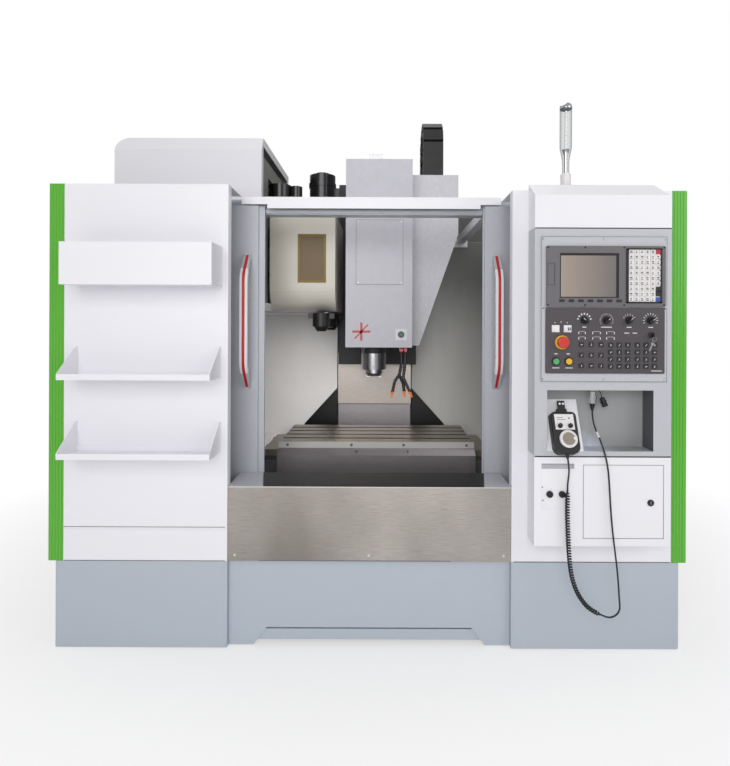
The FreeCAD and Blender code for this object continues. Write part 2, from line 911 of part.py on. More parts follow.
def door(side, step, handle_x):
    edge = door_mid_x + side * door_half_gap
    outer = edge + side * leaf_width
    face_edge = edge + side * step
    face = behind(leaf_front)
    upright = (leaf_bottom, leaf_top)
    leaf = block(sorted((face_edge, outer)), deep(leaf_front, leaf_front + leaf_thickness), upright)
    window_x = sorted((edge + side * window_from_edge, edge + side * (window_from_edge + window_width)))
    window_z = (window_bottom, window_bottom + window_height)
    rebate = window_lap + slide_gap

    def grown(span, by):
        return (span[0] - by, span[1] + by)

    pocket_x = sorted((face_edge + side * leaf_rim, outer - side * leaf_rim))
    pocket = block(pocket_x, deep(leaf_front + sheet, leaf_front + leaf_thickness + 1),
                   grown(upright, -leaf_rim))
    frame = block(grown(window_x, rebate + leaf_rim / 2), deep(leaf_front, leaf_front + leaf_thickness),
                  grown(window_z, rebate + leaf_rim / 2))
    bed_for_pane = block(grown(window_x, rebate), deep(leaf_front + sheet, leaf_front + leaf_thickness + 1),
                         grown(window_z, rebate))
    light = block(window_x, deep(0, leaf_front + leaf_thickness + 1), window_z)
    leaf = leaf.cut(pocket.cut(frame)).cut(bed_for_pane).cut(light)
    strip = block(sorted((edge, face_edge)),
                  deep(leaf_front + leaf_thickness / 2, leaf_front + leaf_thickness),
                  upright)
    guide = block(sorted((edge, outer)), around(behind(leaf_front + leaf_thickness / 2), guide_width),
                  (sill_top - guide_depth, leaf_bottom))
    pieces = [leaf, strip, guide]
    wheel_z = track_rail_top + roller_radius + seat
    back = leaf_front + leaf_thickness
    for share in (0.15, 0.85):
        x = edge + side * share * leaf_width
        pieces.append(block(around(x, 4 * roller_radius), deep(back - sheet, back + seam / 2),
                            (leaf_top - leaf_rim, wheel_z + roller_radius)))
        pieces.append(rod("y", (x, wheel_z), roller_radius, deep(back + seam / 2, back + roller_thickness)))
    pane_y = leaf_front + sheet + seat
    pane = block(grown(window_x, window_lap), deep(pane_y, pane_y + window_thickness),
                 grown(window_z, window_lap))
    return join(pieces + [handle(handle_x, face)]), pane


def doors():
    left, left_pane = door(-1, leaf_step, handle_left_x)
    right, right_pane = door(1, leaf_step / 4, handle_right_x)
    save("left_door", left)
    save("left_window", left_pane)
    save("right_door", right)
    save("right_window", right_pane)


def guideway(axis, a, b, span, out, gap=0.0):
    """A profiled rail with waisted sides: a, b is the middle of its base and out the way it stands."""
    half = rail_width / 2 + gap
    waist = half * 0.72
    top = rail_height + gap
    right = [(half, -gap), (half, top * 0.27), (waist, top * 0.43), (waist, top * 0.66),
             (half, top * 0.84), (half, top)]
    left = [(-u, v) for u, v in reversed(right)]
    return prism([(a + u, b + out * v) for u, v in right + left], axis, span)


def carriage(axis, a, b, middle, out):
    """A runner block that rides the rail, open underneath where the rail passes."""
    foot = carriage_rise - rail_height * 1.16
    heights = sorted((b + out * foot, b + out * carriage_rise))
    span = around(middle, carriage_length)
    outline = [(a - carriage_width / 2, heights[0]), (a + carriage_width / 2, heights[0]),
               (a + carriage_width / 2, heights[1]), (a - carriage_width / 2, heights[1])]
    body = prism(outline, axis, span)
    return body.cut(guideway(axis, a, b, (span[0] - 1, span[1] + 1), out, slide_gap))


def levelling_feet():
    feet = []
    for side in (-1, 1):
        for distance in foot_rows:
            centre = (work_x + side * foot_spread, behind(distance))
            pad = Part.makeCone(foot_radius, foot_radius * 0.7, foot_pad, place("z", *centre, 0))
            stem = rod("z", centre, stem_radius, (foot_pad, foot_height - seat))
            nut = Part.makeCylinder(stem_radius * 1.8, stem_radius,
                                    place("z", *centre, foot_height - 2 * stem_radius))
            feet.append(join([pad, stem, nut]))
    save("levelling_feet", *feet)


def coolant_tank():
    left = work_x - seam - tank_width / 2
    x = (left, left + tank_width)
    low = 2 * castor_radius + seam
    z = (low, low + tank_height)
    trough = tray(x, deep(tank_front, tank_front + tank_length), z, sheet, "top")
    rim_y = deep(tank_front - tank_rim, tank_front + tank_length + tank_rim)
    rim = block((x[0] - tank_rim, x[1] + tank_rim), rim_y, (z[1] - sheet, z[1]))
    rim = rim.cut(block((x[0] + sheet, x[1] - sheet),
                        deep(tank_front + sheet, tank_front + tank_length - sheet),
                        (z[0], z[1] + 1)))
    wing = block((x[0] - pump_wing, x[0]), around(behind(pump_behind), pump_wing * 0.8), z)
    pieces = [trough, rim, wing]
    for x_wheel in (x[0] + tank_width / 8, x[1] - tank_width / 8):
        for distance in (tank_front + castor_inset, tank_front + tank_length - castor_inset):
            spot = (behind(distance), castor_radius)
            pieces.append(rod("x", spot, castor_radius, around(x_wheel, castor_radius)))
            pieces.append(block(around(x_wheel, castor_radius * 0.7), around(spot[0], castor_radius),
                                (castor_radius, low + 0.1)))
    pump_at = (x[0] - pump_wing / 2, behind(pump_behind))
    pump_foot = z[1] + pump_flange
    pump_head = z[1] + pump_height
    pump = [rod("z", pump_at, pump_radius * 1.15, (z[1], pump_foot)),
            rod("z", pump_at, pump_radius, (pump_foot, pump_head)),
            rod("z", pump_at, pump_radius * 1.08, (z[1] + pump_height * 0.82, pump_head))]
    save("coolant_tank", join(pieces), join(pump).translated(FreeCAD.Vector(0, 0, seat)))


def bed_casting():
    channel = bed_pad_top - bed_channel_depth
    land = bed_pad_top - 15
    pad = (y_rail_spread - carriage_width / 2 - 5, y_rail_spread + carriage_width / 2 + 5)
    half = [(channel_half_width, channel), (channel_half_width, land), (pad[0], land),
            (pad[0], bed_pad_top),
            (pad[1], bed_pad_top), (pad[1], land), (bed_half_width, bed_side_top), (bed_half_width,
                                                                                    foot_height)]
    outline = [(work_x + u, v) for u, v in half] + [(work_x - u, v) for u, v in reversed(half)]
    bed = prism(outline, "y", deep(bed_front, bed_front + bed_length))
    seat_block = block(around(work_x, 2 * column_foot_half_width),
                       deep(column_front - 50, bed_front + bed_length), (channel, bed_pad_top - seat))
    bed = bed.fuse(seat_block)
    bay = (bed_length - 4 * bed_wall) / 3
    for bay_index in range(3):
        near = bed_front + bed_wall + bay_index * (bay + bed_wall)
        for side in (-1, 1):
            x = sorted((work_x + side * bed_wall / 2, work_x + side * (bed_half_width - bed_wall)))
            bed = bed.cut(block(x, deep(near, near + bay), (0, channel - bed_wall)))
    for side in (-1, 1):
        for distance in foot_rows:
            lug = rod("z", (work_x + side * foot_spread, behind(distance)), foot_radius * 1.3,
                      (foot_height, foot_height + bed_wall))
            limits = block(around(work_x, 2 * bed_half_width), deep(bed_front, bed_front + bed_length),
                           (0, bed_pad_top))
            bed = bed.fuse(lug.common(limits))
    save("bed_casting", bed.removeSplitter())


def column_casting():
    foot, body = column_foot_half_width, column_half_width
    half = [(foot, bed_pad_top), (foot, column_foot_top), (body, column_shoulder), (body, column_top)]
    outline = [(work_x + u, v) for u, v in half] + [(work_x - u, v) for u, v in reversed(half)]
    rear = column_front + column_depth_bottom
    column = prism(outline, "y", deep(column_front, rear))
    top_rear = column_front + column_depth_top
    slope = prism([(behind(rear), column_foot_top), (behind(top_rear), column_top),
                   (behind(top_rear), column_top + 1), (behind(rear) + 1, column_top + 1),
                   (behind(rear) + 1, column_foot_top)], "x", around(work_x, 2 * foot + 2))
    arch = block(around(work_x, 2 * column_arch_half_width),
                 deep(column_front - 1, column_front + column_arch_depth), (0,
                                                                            bed_pad_top + column_arch_height))
    groove = block(around(work_x, 2 * channel_half_width), deep(column_front - 1, column_front + 30),
                   (z_rail_bottom - 60, column_top - 10))
    column = column.cut(slope).cut(arch).cut(groove)
    for side in (-1, 1):
        face = work_x + side * body
        for row in range(column_bays):
            z = column_shoulder + bed_wall + row * column_bay_pitch
            recess = block(sorted((face, face - side * bed_wall * 0.6)),
                           deep(column_front + 60, column_front + column_depth_top - 90),
                           (z, z + column_bay_pitch - bed_wall))
            column = column.cut(recess)
    fall_y = chain_front + chain_depth / 2 + 2 * chain_radius
    end_z = chain_centre_z - chain_fall_links * chain_pitch
    face = work_x + body
    arm = block((face, face + bed_wall), deep(fall_y - chain_depth / 2, column_front + bed_wall * 2),
                (end_z - bed_wall, end_z - 6))
    shelf = block((chain_left, face + bed_wall), deep(fall_y - chain_depth / 2, fall_y + chain_depth / 2),
                  (end_z - 6, end_z - seat))
    save("column_casting", join([column, arm, shelf]))


def fixed_guideways():
    pieces = []
    y_run = deep(bed_front + 50, back_wall_front)
    for side in (-1, 1):
        pieces.append(guideway("y", work_x + side * y_rail_spread, bed_pad_top + seat / 3, y_run, 1))
        pieces.append(guideway("z", work_x + side * z_rail_spread, behind(column_front - seat / 3),
                               (z_rail_bottom, column_top - 20), -1))
    floor = bed_pad_top - bed_channel_depth + seat
    motor_near = bed_front
    motor_far = bed_front + motor_length
    centre = (work_x, y_screw_z)
    pieces.append(rod("y", centre, screw_radius, deep(motor_far, back_wall_front - 10)))
    pieces.append(block(around(work_x, motor_width), deep(motor_near, motor_far),
                        around(y_screw_z, motor_width)))
    for near in (motor_far, back_wall_front - bearing_length - 10):
        support = block(around(work_x, motor_width), deep(near, near + bearing_length),
                        (floor, y_screw_z + motor_width / 3))
        pieces.append(support.cut(rod("y", centre, screw_radius,
                                      deep(near - 1, near + bearing_length + 1))))
    axis_y = behind(column_front - z_screw_out)
    z_low = z_rail_bottom - 20
    pieces.append(rod("z", (work_x, axis_y), screw_radius, (z_low, column_top + seat)))
    for low in (z_low, column_top - 2 * bearing_length):
        support = block(around(work_x, motor_width),
                        (axis_y - screw_radius - sheet, behind(column_front + 30 - seat)),
                        (low, low + bearing_length))
        pieces.append(support.cut(rod("z", (work_x, axis_y), screw_radius,
                                      (low - 1, low + bearing_length + 1))))
    plate = block(around(work_x, motor_width * 1.4), (axis_y - motor_width / 2, axis_y + motor_width * 1.2),
                  (column_top + seat, column_top + 15))
    pieces.append(plate)
    pieces.append(block(around(work_x, motor_width), around(axis_y, motor_width),
                        (column_top + 15, column_top + 15 + motor_length)))
    save("fixed_guideways", *pieces)


def ridge_cover(near, far, nest):
    """One leaf of the front way cover, a shallow roof with skirts; each nests under the next."""
    down = nest * cover_nest
    half = cover_half_width - down
    outer = [(half, cover_skirt), (half, cover_edge - down), (0, cover_ridge - down),
             (-half, cover_edge - down), (-half, cover_skirt)]
    thin = cover_sheet
    inner = [(-half + thin, cover_skirt), (-half + thin, cover_edge - down - thin),
             (0, cover_ridge - down - thin), (half - thin, cover_edge - down - thin), (half - thin,
                                                                                       cover_skirt)]
    return prism([(work_x + u, v) for u, v in outer + inner], "y", deep(near, far))


def saddle_middle():
    return behind(spindle_from_front)


def saddle():
    middle = saddle_middle()
    x = around(work_x, 2 * saddle_half_length)
    low = bed_pad_top + carriage_rise
    high = low + saddle_height
    body = block(x, around(middle, saddle_width), (low, high))
    body = body.cut(block((x[0] - 1, x[1] + 1), around(middle, 2 * channel_half_width),
                          (high - channel_depth, high + 1)))
    for side in (-1, 1):
        for end in (-1, 1):
            near_x = work_x + side * (y_rail_spread + carriage_width)
            far_x = work_x + side * (saddle_half_length - bed_wall)
            y = sorted((middle + end * bed_wall, middle + end * (saddle_width / 2 - bed_wall)))
            body = body.cut(block(sorted((near_x, far_x)), y, (low - 1, high - bed_wall * 1.5)))
    pieces = []
    for side in (-1, 1):
        for end in (-1, 1):
            pieces.append(carriage("y", work_x + side * y_rail_spread, bed_pad_top + seat / 3,
                                   middle + end * (saddle_width / 2 - carriage_length * 0.65), 1)
                          .translated(FreeCAD.Vector(0, 0, -seat / 3)))
    nut = block(around(work_x, 4 * screw_radius), around(middle, nut_length - 10),
                (y_screw_z - y_nut_drop, low))
    nut = nut.cut(rod("y", (work_x, y_screw_z), screw_radius + slide_gap, around(middle, 2 * nut_length)))
    rail_x = (x[0] + rail_inset, x[1] - rail_inset)
    rails = [guideway("x", middle + side * x_rail_spread, high, rail_x, 1) for side in (-1, 1)]
    screw = rod("x", (middle, x_screw_z), x_screw_radius, (x[0] + rail_inset + 1, x[1]))
    bearing_z = (high - channel_depth, x_screw_z + x_screw_radius + 2 * sheet)
    supports = [block(span, around(middle, x_motor_width), bearing_z)
                for span in ((x[0], x[0] + bearing_length), (x[1] - bearing_length, x[1]))]
    motor = block((x[1], x[1] + motor_length * 0.85), around(middle, x_motor_width),
                  around(x_screw_z, x_motor_width))
    front_face = spindle_from_front - saddle_width / 2
    rear_face = spindle_from_front + saddle_width / 2
    front_cover = ridge_cover(front_face - cover_length, front_face, 0)
    rear_cover = ridge_cover(rear_face, rear_face + rear_cover_length, 0)
    save("saddle", join([body, nut] + pieces), join(rails), join([screw, motor] + supports),
         front_cover, rear_cover)


def middle_way_cover():
    near = cover_front + cover_length - middle_cover_back
    save("middle_way_cover", ridge_cover(near, near + middle_ridge_length, 1))


def fixed_way_covers():
    ridge = ridge_cover(cover_front, cover_front + cover_length, 2)
    upright = column_cover(2, fixed_cover_bottom, fixed_cover_length)
    save("fixed_way_covers", ridge, upright)


def column_cover(layer, bottom, length):
    """One flat plate of the cover below the head, its upright edges folded back."""
    front = way_cover_front + layer * way_cover_pitch
    x = (way_cover_left + layer * cover_nest, way_cover_right - layer * cover_nest)
    return block(x, deep(front, front + way_cover_sheet), (bottom, bottom + length))


def table():
    middle_x = work_x + table_shift
    middle = saddle_middle()
    x = around(middle_x, table_length)
    slab = block(x, around(middle, table_width), (table_top - table_thickness, table_top))
    for index in range(slot_count):
        y = middle + (index - (slot_count - 1) / 2) * slot_pitch
        foot = table_top - slot_depth
        neck = block((x[0] - 1, x[1] + 1), around(y, slot_width), (foot, table_top + 1))
        tee = block((x[0] - 1, x[1] + 1), around(y, slot_foot_width), (foot, foot + slot_foot_height))
        slab = slab.cut(neck.fuse(tee))
    pieces = [slab]
    low = table_top - table_thickness
    base = bed_pad_top + carriage_rise + saddle_height
    for side in (-1, 1):
        for end in (-1, 1):
            runner = carriage("x", middle + side * x_rail_spread, base, middle_x + end * x_runner_spread, 1)
            pieces.append(runner)
    nut = block(around(middle_x, nut_length - 10), around(middle, 2.6 * x_screw_radius),
                (x_screw_z - x_screw_radius - x_nut_drop, low))
    pieces.append(nut.cut(rod("x", (middle, x_screw_z), x_screw_radius + slide_gap,
                              around(middle_x, 2 * nut_length))))
    for side in (-1, 1):
        edge = middle_x + side * table_length / 2
        span = sorted((edge, edge + side * end_cover_length))
        half = end_cover_half_width
        inner = half - sheet
        foot = low - end_cover_drop
        roof = low + sheet + 1
        outline = [(middle - half, foot), (middle - half, roof), (middle + half, roof), (middle + half, foot),
                   (middle + inner, foot), (middle + inner, roof - sheet), (middle - inner, roof - sheet),
                   (middle - inner, foot)]
        pieces.append(prism(outline, "x", span))
    save("table", join(pieces))


def table_front_guard():
    middle_x = work_x + table_shift
    face = spindle_from_front - table_width / 2 - seat
    out = face - 2 * sheet
    step = out - guard_step_out
    z = [table_top - 1, table_top - guard_strip_height]
    z.append(z[1] - guard_step_height)
    z.append(z[2] - guard_panel_height)
    outer = [(out, z[0]), (out, z[1]), (step, z[2]), (step, z[3])]
    inner = [(step + sheet, z[3]), (step + sheet, z[2] - sheet), (out + 2 * sheet, z[1] - 2 * sheet),
             (out + 2 * sheet, z[0])]
    body = prism([(behind(d), h) for d, h in outer + inner], "x", around(middle_x, table_length + 12))
    for x in guard_holes:
        slot = rod("y", (x, (z[1] + z[2]) / 2), screw_hole * 1.6, deep(step - 5, face + 5))
        body = body.cut(slot)
    save("table_front_guard", body)


def head_casting():
    axis = (work_x, saddle_middle())
    slide_rear = slide_front + slide_depth
    low, high = slide_bottom, hood_top + seat
    slide = block((slide_left, slide_right), deep(slide_front, slide_rear), (low, high))
    room = block((slide_left + head_wall, slide_right - head_wall),
                 deep(slide_front + head_wall, slide_rear + 1),
                 (low + head_wall, high - head_wall))
    core = block(around(work_x, 2 * back_plate_half), deep(slide_front, slide_rear),
                 (back_plate_bottom, back_plate_top))
    slide = slide.cut(room.cut(core))
    plate = block(around(work_x, 2 * back_plate_half), deep(slide_rear, column_front - carriage_rise),
                  (back_plate_bottom, back_plate_top))
    nose_bottom = hood_bottom + nose_gap
    nose = block(around(work_x, head_body_width), deep(head_body_front, slide_front),
                 (nose_bottom, head_body_top))
    web = block(around(work_x, head_body_width * 0.6), deep(head_body_front + web_back, slide_front),
                (head_body_top, head_body_top + web_height))
    quill = rod("z", axis, quill_radius, (quill_bottom, nose_bottom))
    collar = rod("z", axis, quill_flange_radius, (nose_bottom - quill_flange_height, nose_bottom))
    strip = block((slide_left + head_wall, slide_right - head_wall),
                  deep(slide_rear, way_cover_front - seat), (low + seam, low + head_wall - seam))
    body = join([slide, plate, nose, web, quill, collar, strip])
    body = body.cut(rod("z", axis, spindle_radius + running_gap, (quill_bottom - 1, spindle_top + seat)))
    runners = []
    for side in (-1, 1):
        for z in (back_plate_bottom + carriage_end, back_plate_top - carriage_end):
            runners.append(carriage("z", work_x + side * z_rail_spread, behind(column_front), z, -1))
    screw = (work_x, behind(column_front - z_screw_out))
    nut = block(around(work_x, 4 * screw_radius),
                deep(column_front - carriage_rise, column_front + z_nut_depth),
                around((back_plate_bottom + back_plate_top) / 2, nut_length))
    nut = nut.cut(rod("z", screw, screw_radius + slide_gap, (back_plate_bottom, back_plate_top)))
    motor_low = head_body_top + motor_flange
    motor = [rod("z", axis, spindle_motor_radius, (motor_low, motor_low + spindle_motor_length)),
             block(around(axis[0], spindle_motor_radius * 1.9), around(axis[1], spindle_motor_radius * 1.9),
                   (head_body_top, motor_low))]
    save("head_casting", join([body, nut] + runners), join(motor).translated(FreeCAD.Vector(0, 0, seat)))


def head_cover():
    x = (hood_left, hood_right)
    rear = slide_front - seat
    shell = block(x, deep(hood_front, rear), (hood_bottom, hood_top))
    room = block((x[0] + sheet, x[1] - sheet), deep(hood_front + sheet, rear + 1), (0, hood_top - sheet))
    shell = shell.cut(room)
    access_left = hood_left + access_inset
    access = block((access_left, access_left + access_width), deep(hood_front - plate_proud, hood_front),
                   (access_bottom, access_bottom + access_height))
    switch = block(around(unclamp_x, unclamp_plate), deep(hood_front - plate_proud, hood_front),
                   around(unclamp_z, unclamp_plate))
    bore = rod("y", (unclamp_x, unclamp_z), button_radius + slide_gap,
               deep(hood_front - 10, hood_front + 10))
    save("head_cover", join([shell, access, switch]).cut(bore))


def push_button(node, x, z, face, radius, proud, tail):
    """A push button whose cap stands proud of the face and whose stem runs back through it."""
    cap = rod("y", (x, z), radius, (face - proud, face + tail))
    cap = cap.makeFillet(radius * 0.15,
                         [edge for edge in cap.Edges if abs(edge.CenterOfMass.y - face + proud) < 0.01])
    save(node, cap)


def head_side_cover():
    left = hood_right + seat
    outer = [(left, wing_top), (wing_right, wing_top), (wing_right, wing_slant_top),
             (wing_slant_x, wing_bottom), (left, wing_bottom)]
    shell = prism(outer, "y", deep(wing_front, wing_front + wing_depth))
    lean = math.hypot(wing_right - wing_slant_x,
                      wing_slant_top - wing_bottom) / (wing_slant_top - wing_bottom)
    inner = [(left - 1, wing_top + 1), (wing_right - sheet, wing_top + 1),
             (wing_right - sheet, wing_slant_top),
             (wing_slant_x - sheet * lean, wing_bottom - 1), (left - 1, wing_bottom - 1)]
    shell = shell.cut(prism(inner, "y", deep(wing_front + sheet, wing_front + wing_depth + 1)))
    end_z = chain_centre_z - chain_rise_links * chain_pitch
    shelf = block((left, wing_right - sheet), deep(chain_front, chain_front + chain_depth),
                  (end_z - 6, end_z - seat))
    save("head_side_cover", join([shell, shelf]))


def spindle():
    axis = place("z", work_x, saddle_middle(), 0)
    taper_top = taper_radius - taper_length * taper_slope
    outline = [(taper_radius, spindle_bottom), (spindle_nose_radius, spindle_bottom),
               (spindle_radius, spindle_bottom + 15), (spindle_radius, spindle_top),
               (0, spindle_top), (0, spindle_bottom + taper_length),
               (taper_top, spindle_bottom + taper_length)]
    points = [FreeCAD.Vector(r, 0, z) for r, z in outline]
    face = Part.Face(Part.makePolygon(points + points[:1]))
    shaft = face.revolve(FreeCAD.Vector(0, 0, 0), FreeCAD.Vector(0, 0, 1), 360)
    keys = []
    for side in (-1, 1):
        x = sorted((side * (taper_radius + 2), side * (spindle_nose_radius - 1)))
        keys.append(block(x, around(0, drive_key_width), (spindle_bottom - 8, spindle_bottom + 1)))
    save("spindle", join([shaft] + keys).translated(axis))


def head_way_covers():
    save("head_way_cover", column_cover(0, head_cover_bottom, head_cover_length))
    save("column_way_cover", column_cover(1, middle_cover_bottom, middle_cover_length))


def bead_hose(points, radius, tip_length):
    """A segmented coolant hose: cones strung along straight runs, with a tapered nozzle at the end."""
    beads = []
    spots = [FreeCAD.Vector(x, behind(d), z) for x, d, z in points]
    for start, end in zip(spots, spots[1:]):
        run = end - start
        count = max(1, round(run.Length / (radius * 2.1)))
        step = run.Length / count
        for index in range(count):
            at = start + run * (index / count)
            beads.append(Part.makeCone(radius * 0.72, radius, step * 1.02, at, run))
    last = spots[-1] - spots[-2]
    beads.append(Part.makeCone(radius * 0.95, radius * 0.35, tip_length, spots[-1], last))
    return beads


def coolant_hoses():
    low = hood_bottom - manifold_drop
    manifold = block((work_x + head_body_width / 2 - manifold_lap, hose_root_x + manifold_over),
                     around(behind(hose_behind), manifold_depth), (low, hood_bottom + manifold_rise - seat))
    beads = []
    for route in hose_routes:
        run = [(hose_root_x + across, hose_behind + back, z) for across, back, z in route]
        beads += bead_hose(run, hose_radius, hose_tip)
    valves = [rod("y", (hose_root_x + across, low - valve_down), hose_radius * 1.05,
                  around(behind(hose_behind), 3.4 * hose_radius)) for across in (0, hose_spacing)]
    save("coolant_hoses", join([manifold] + beads + valves))


def drag_chain():
    half = chain_pitch / 2 - seat
    depth = chain_depth / 2
    inner_half = half - depth * math.tan(math.pi / chain_bend_links / 2)
    run_y = behind(chain_front + depth)
    centre = FreeCAD.Vector(0, run_y + chain_radius, chain_centre_z)
    x = (chain_left, chain_left + chain_width)
    outline = [(run_y - depth, -half), (run_y - depth, half), (run_y, half),
               (run_y + depth, inner_half), (run_y + depth, -inner_half), (run_y, -half)]
    link = prism([(y, chain_centre_z + z) for y, z in outline], "x", x)
    hollow = block((x[0] + chain_wall, x[1] - chain_wall), around(run_y, chain_depth - 2 * chain_wall),
                   around(chain_centre_z, 2 * chain_pitch))
    link = link.cut(hollow)
    for side in x:
        pin = rod("x", (run_y, chain_centre_z), chain_pin_radius, around(side, chain_pin_proud * 2))
        link = link.fuse(pin)
    link = link.removeSplitter()
    links = []
    for index in range(chain_rise_links):
        links.append(link.translated(FreeCAD.Vector(0, 0, -(index + 0.5) * chain_pitch)))
    for index in range(chain_bend_links):
        turned = link.copy()
        turned.rotate(centre, FreeCAD.Vector(1, 0, 0), -(index + 0.5) * 180 / chain_bend_links)
        links.append(turned)
    for index in range(chain_fall_links):
        turned = link.copy()
        turned.rotate(centre, FreeCAD.Vector(1, 0, 0), 180)
        links.append(turned.translated(FreeCAD.Vector(0, 0, -(index + 0.5) * chain_pitch)))
    save("drag_chain", *links)


def magazine_cover():
    rear = magazine_front + magazine_depth
    x = (case_right + seam, magazine_right)
    front = behind(magazine_front)

    def section(inset):
        radius = magazine_roll - inset
        bend = arc_points((front + magazine_roll, magazine_bottom + magazine_roll), radius, 180, 270, 10)
        return [(front + inset, magazine_top)] + bend + [(behind(rear), magazine_bottom + inset)]

    skin = prism(section(0) + section(sheet)[::-1], "x", x)
    cheek = prism(section(0) + [(behind(rear), magazine_top)], "x", (x[1] - sheet, x[1]))
    shell = join([skin, cheek])
    shaft_hole = rod("z", (arm_x, saddle_middle()), arm_shaft_radius + 24,
                     (magazine_bottom - 5, magazine_bottom + 20))
    glass_x = (window_left, window_left + view_width)
    glass_z = (view_bottom, view_bottom + view_height)
    hole = block((glass_x[0] + view_frame, glass_x[1] - view_frame),
                 deep(magazine_front - 10, magazine_front + 10),
                 (glass_z[0] + view_frame, glass_z[1] - view_frame))
    frame = block(glass_x, deep(magazine_front - 4, magazine_front), glass_z)
    pane = block((glass_x[0] + view_frame / 2, glass_x[1] - view_frame / 2),
                 deep(magazine_front + sheet + seat, magazine_front + 2 * sheet),
                 (glass_z[0] + view_frame / 2, glass_z[1] - view_frame / 2))
    save("magazine_cover", join([shell, frame]).cut(hole).cut(shaft_hole), pane)


def magazine_case():
    rear = case_front + case_depth
    low = magazine_bottom

    def solid(inset):
        radius = case_corner_radius - inset
        centre = (case_left + case_corner_radius, case_top - case_corner_radius)
        corner = arc_points(centre, radius, 180, 90, 8)
        outline = [(case_left + inset, low + inset)] + corner
        outline += [(case_right - inset, case_top - inset), (case_right - inset, low + inset)]
        body = prism(outline, "y", deep(case_front + inset, rear - inset))
        face = behind(case_front)
        back = face + case_slope + inset
        crease = case_crease - inset
        ramp = [(face - 1, crease), (face + inset, crease), (back, case_top - inset), (back, case_top + 1),
                (face - 1, case_top + 1)]
        return body.cut(prism(ramp, "x", (case_left - 1, case_right + 1)))

    shell = solid(0).cut(solid(sheet))
    fold = case_fold
    port = block((case_right - sheet - 1, case_right + 1), deep(case_front + fold, rear - fold),
                 (low + fold, case_top - fold))
    shell = shell.cut(port)
    plate = block((case_right - sheet - fold / 3, case_right - fold / 3),
                  deep(case_front + sheet, rear - sheet), (low + sheet, case_crease - seam))
    gate = block((case_right - fold, case_right),
                 deep(gearbox_front - motor_gate_front, gearbox_front + gearbox_depth - motor_gate_back),
                 (low + sheet, motor_gate_top))
    save("magazine_hood", join([shell, plate.cut(gate)]))


def magazine_disc():
    centre = (behind(disc_front), disc_z)
    face_x = disc_x - disc_thickness
    disc = rod("x", centre, disc_radius, (face_x, disc_x))
    for index in range(6):
        turn = math.radians(60 * index + 30)
        spot = (centre[0] + disc_radius * 0.42 * math.cos(turn),
                centre[1] + disc_radius * 0.42 * math.sin(turn))
        disc = disc.cut(rod("x", spot, disc_radius * 0.15, (face_x - 1, disc_x + 1)))
    pieces = [disc, rod("x", centre, hub_bore - running_gap, (disc_x, gearbox_left)),
              rod("x", centre, hub_bore * 1.8, (disc_x, disc_x + disc_hub_width))]
    bores = []
    for index in range(pot_count):
        turn = 2 * math.pi * index / pot_count
        spot = (centre[0] + pot_circle * math.cos(turn), centre[1] + pot_circle * math.sin(turn))
        pieces.append(rod("x", spot, pot_radius, (face_x - pot_length, disc_x + 12)))
        bores.append(rod("x", spot, pot_radius * 0.62, (face_x - pot_length - 1, face_x)))
    save("magazine_disc", join(pieces).cut(bores[0].fuse(bores[1:])))


def tool_change_gearbox():
    rear = gearbox_front + gearbox_depth
    x = (gearbox_left, gearbox_right)
    body = block(x, deep(gearbox_front, rear), (gearbox_bottom, gearbox_top))
    for a in x:
        for b in deep(gearbox_front, rear):
            body = round_edge(body, gearbox_round, "z", a, b)
    drive = block(around(gearbox_left + drive_offset, drive_width),
                  deep(gearbox_front - drive_front, gearbox_front - drive_front + drive_width),
                  (gearbox_top - drive_height, gearbox_top))
    centre = (behind(disc_front), disc_z)
    hub = rod("x", centre, hub_bore * 2, (disc_x + disc_hub_width + seam, gearbox_left + hub_lap))
    pivot = (arm_x, saddle_middle())
    mast = block((column_left() - bracket_width, column_left() - seat),
                 deep(rear - 1, column_front + bracket_depth),
                 (gearbox_bottom + bracket_low, gearbox_top - bracket_high))
    body = join([body, drive, hub, mast])
    body = body.cut(rod("x", centre, hub_bore, (disc_x, gearbox_left + hub_lap + 1)))
    body = body.cut(rod("z", pivot, arm_shaft_radius + running_gap,
                        (gearbox_bottom - 1, gearbox_bottom + arm_shaft_in + 1)))
    main = (main_motor_x, saddle_middle() - main_motor_forward)
    small = (feed_motor_x, behind(gearbox_front))
    foot = gearbox_top + seat
    motors = [rod("z", main, main_motor_radius, (foot, main_motor_top)),
              rod("z", main, main_motor_radius * 0.55, (main_motor_top, main_motor_top + motor_boss)),
              rod("z", main, main_motor_radius * 1.06, [main_motor_top - down for down in motor_band])]
    twin = (small[0] + feed_motor_radius + twin_offset, small[1])
    feed = [rod("z", small, feed_motor_radius, (foot, feed_motor_top)),
            rod("z", twin, twin_radius, (foot, feed_motor_top - 5))]
    save("tool_change_gearbox", body, join(motors), join(feed))


def column_left():
    return work_x - column_half_width


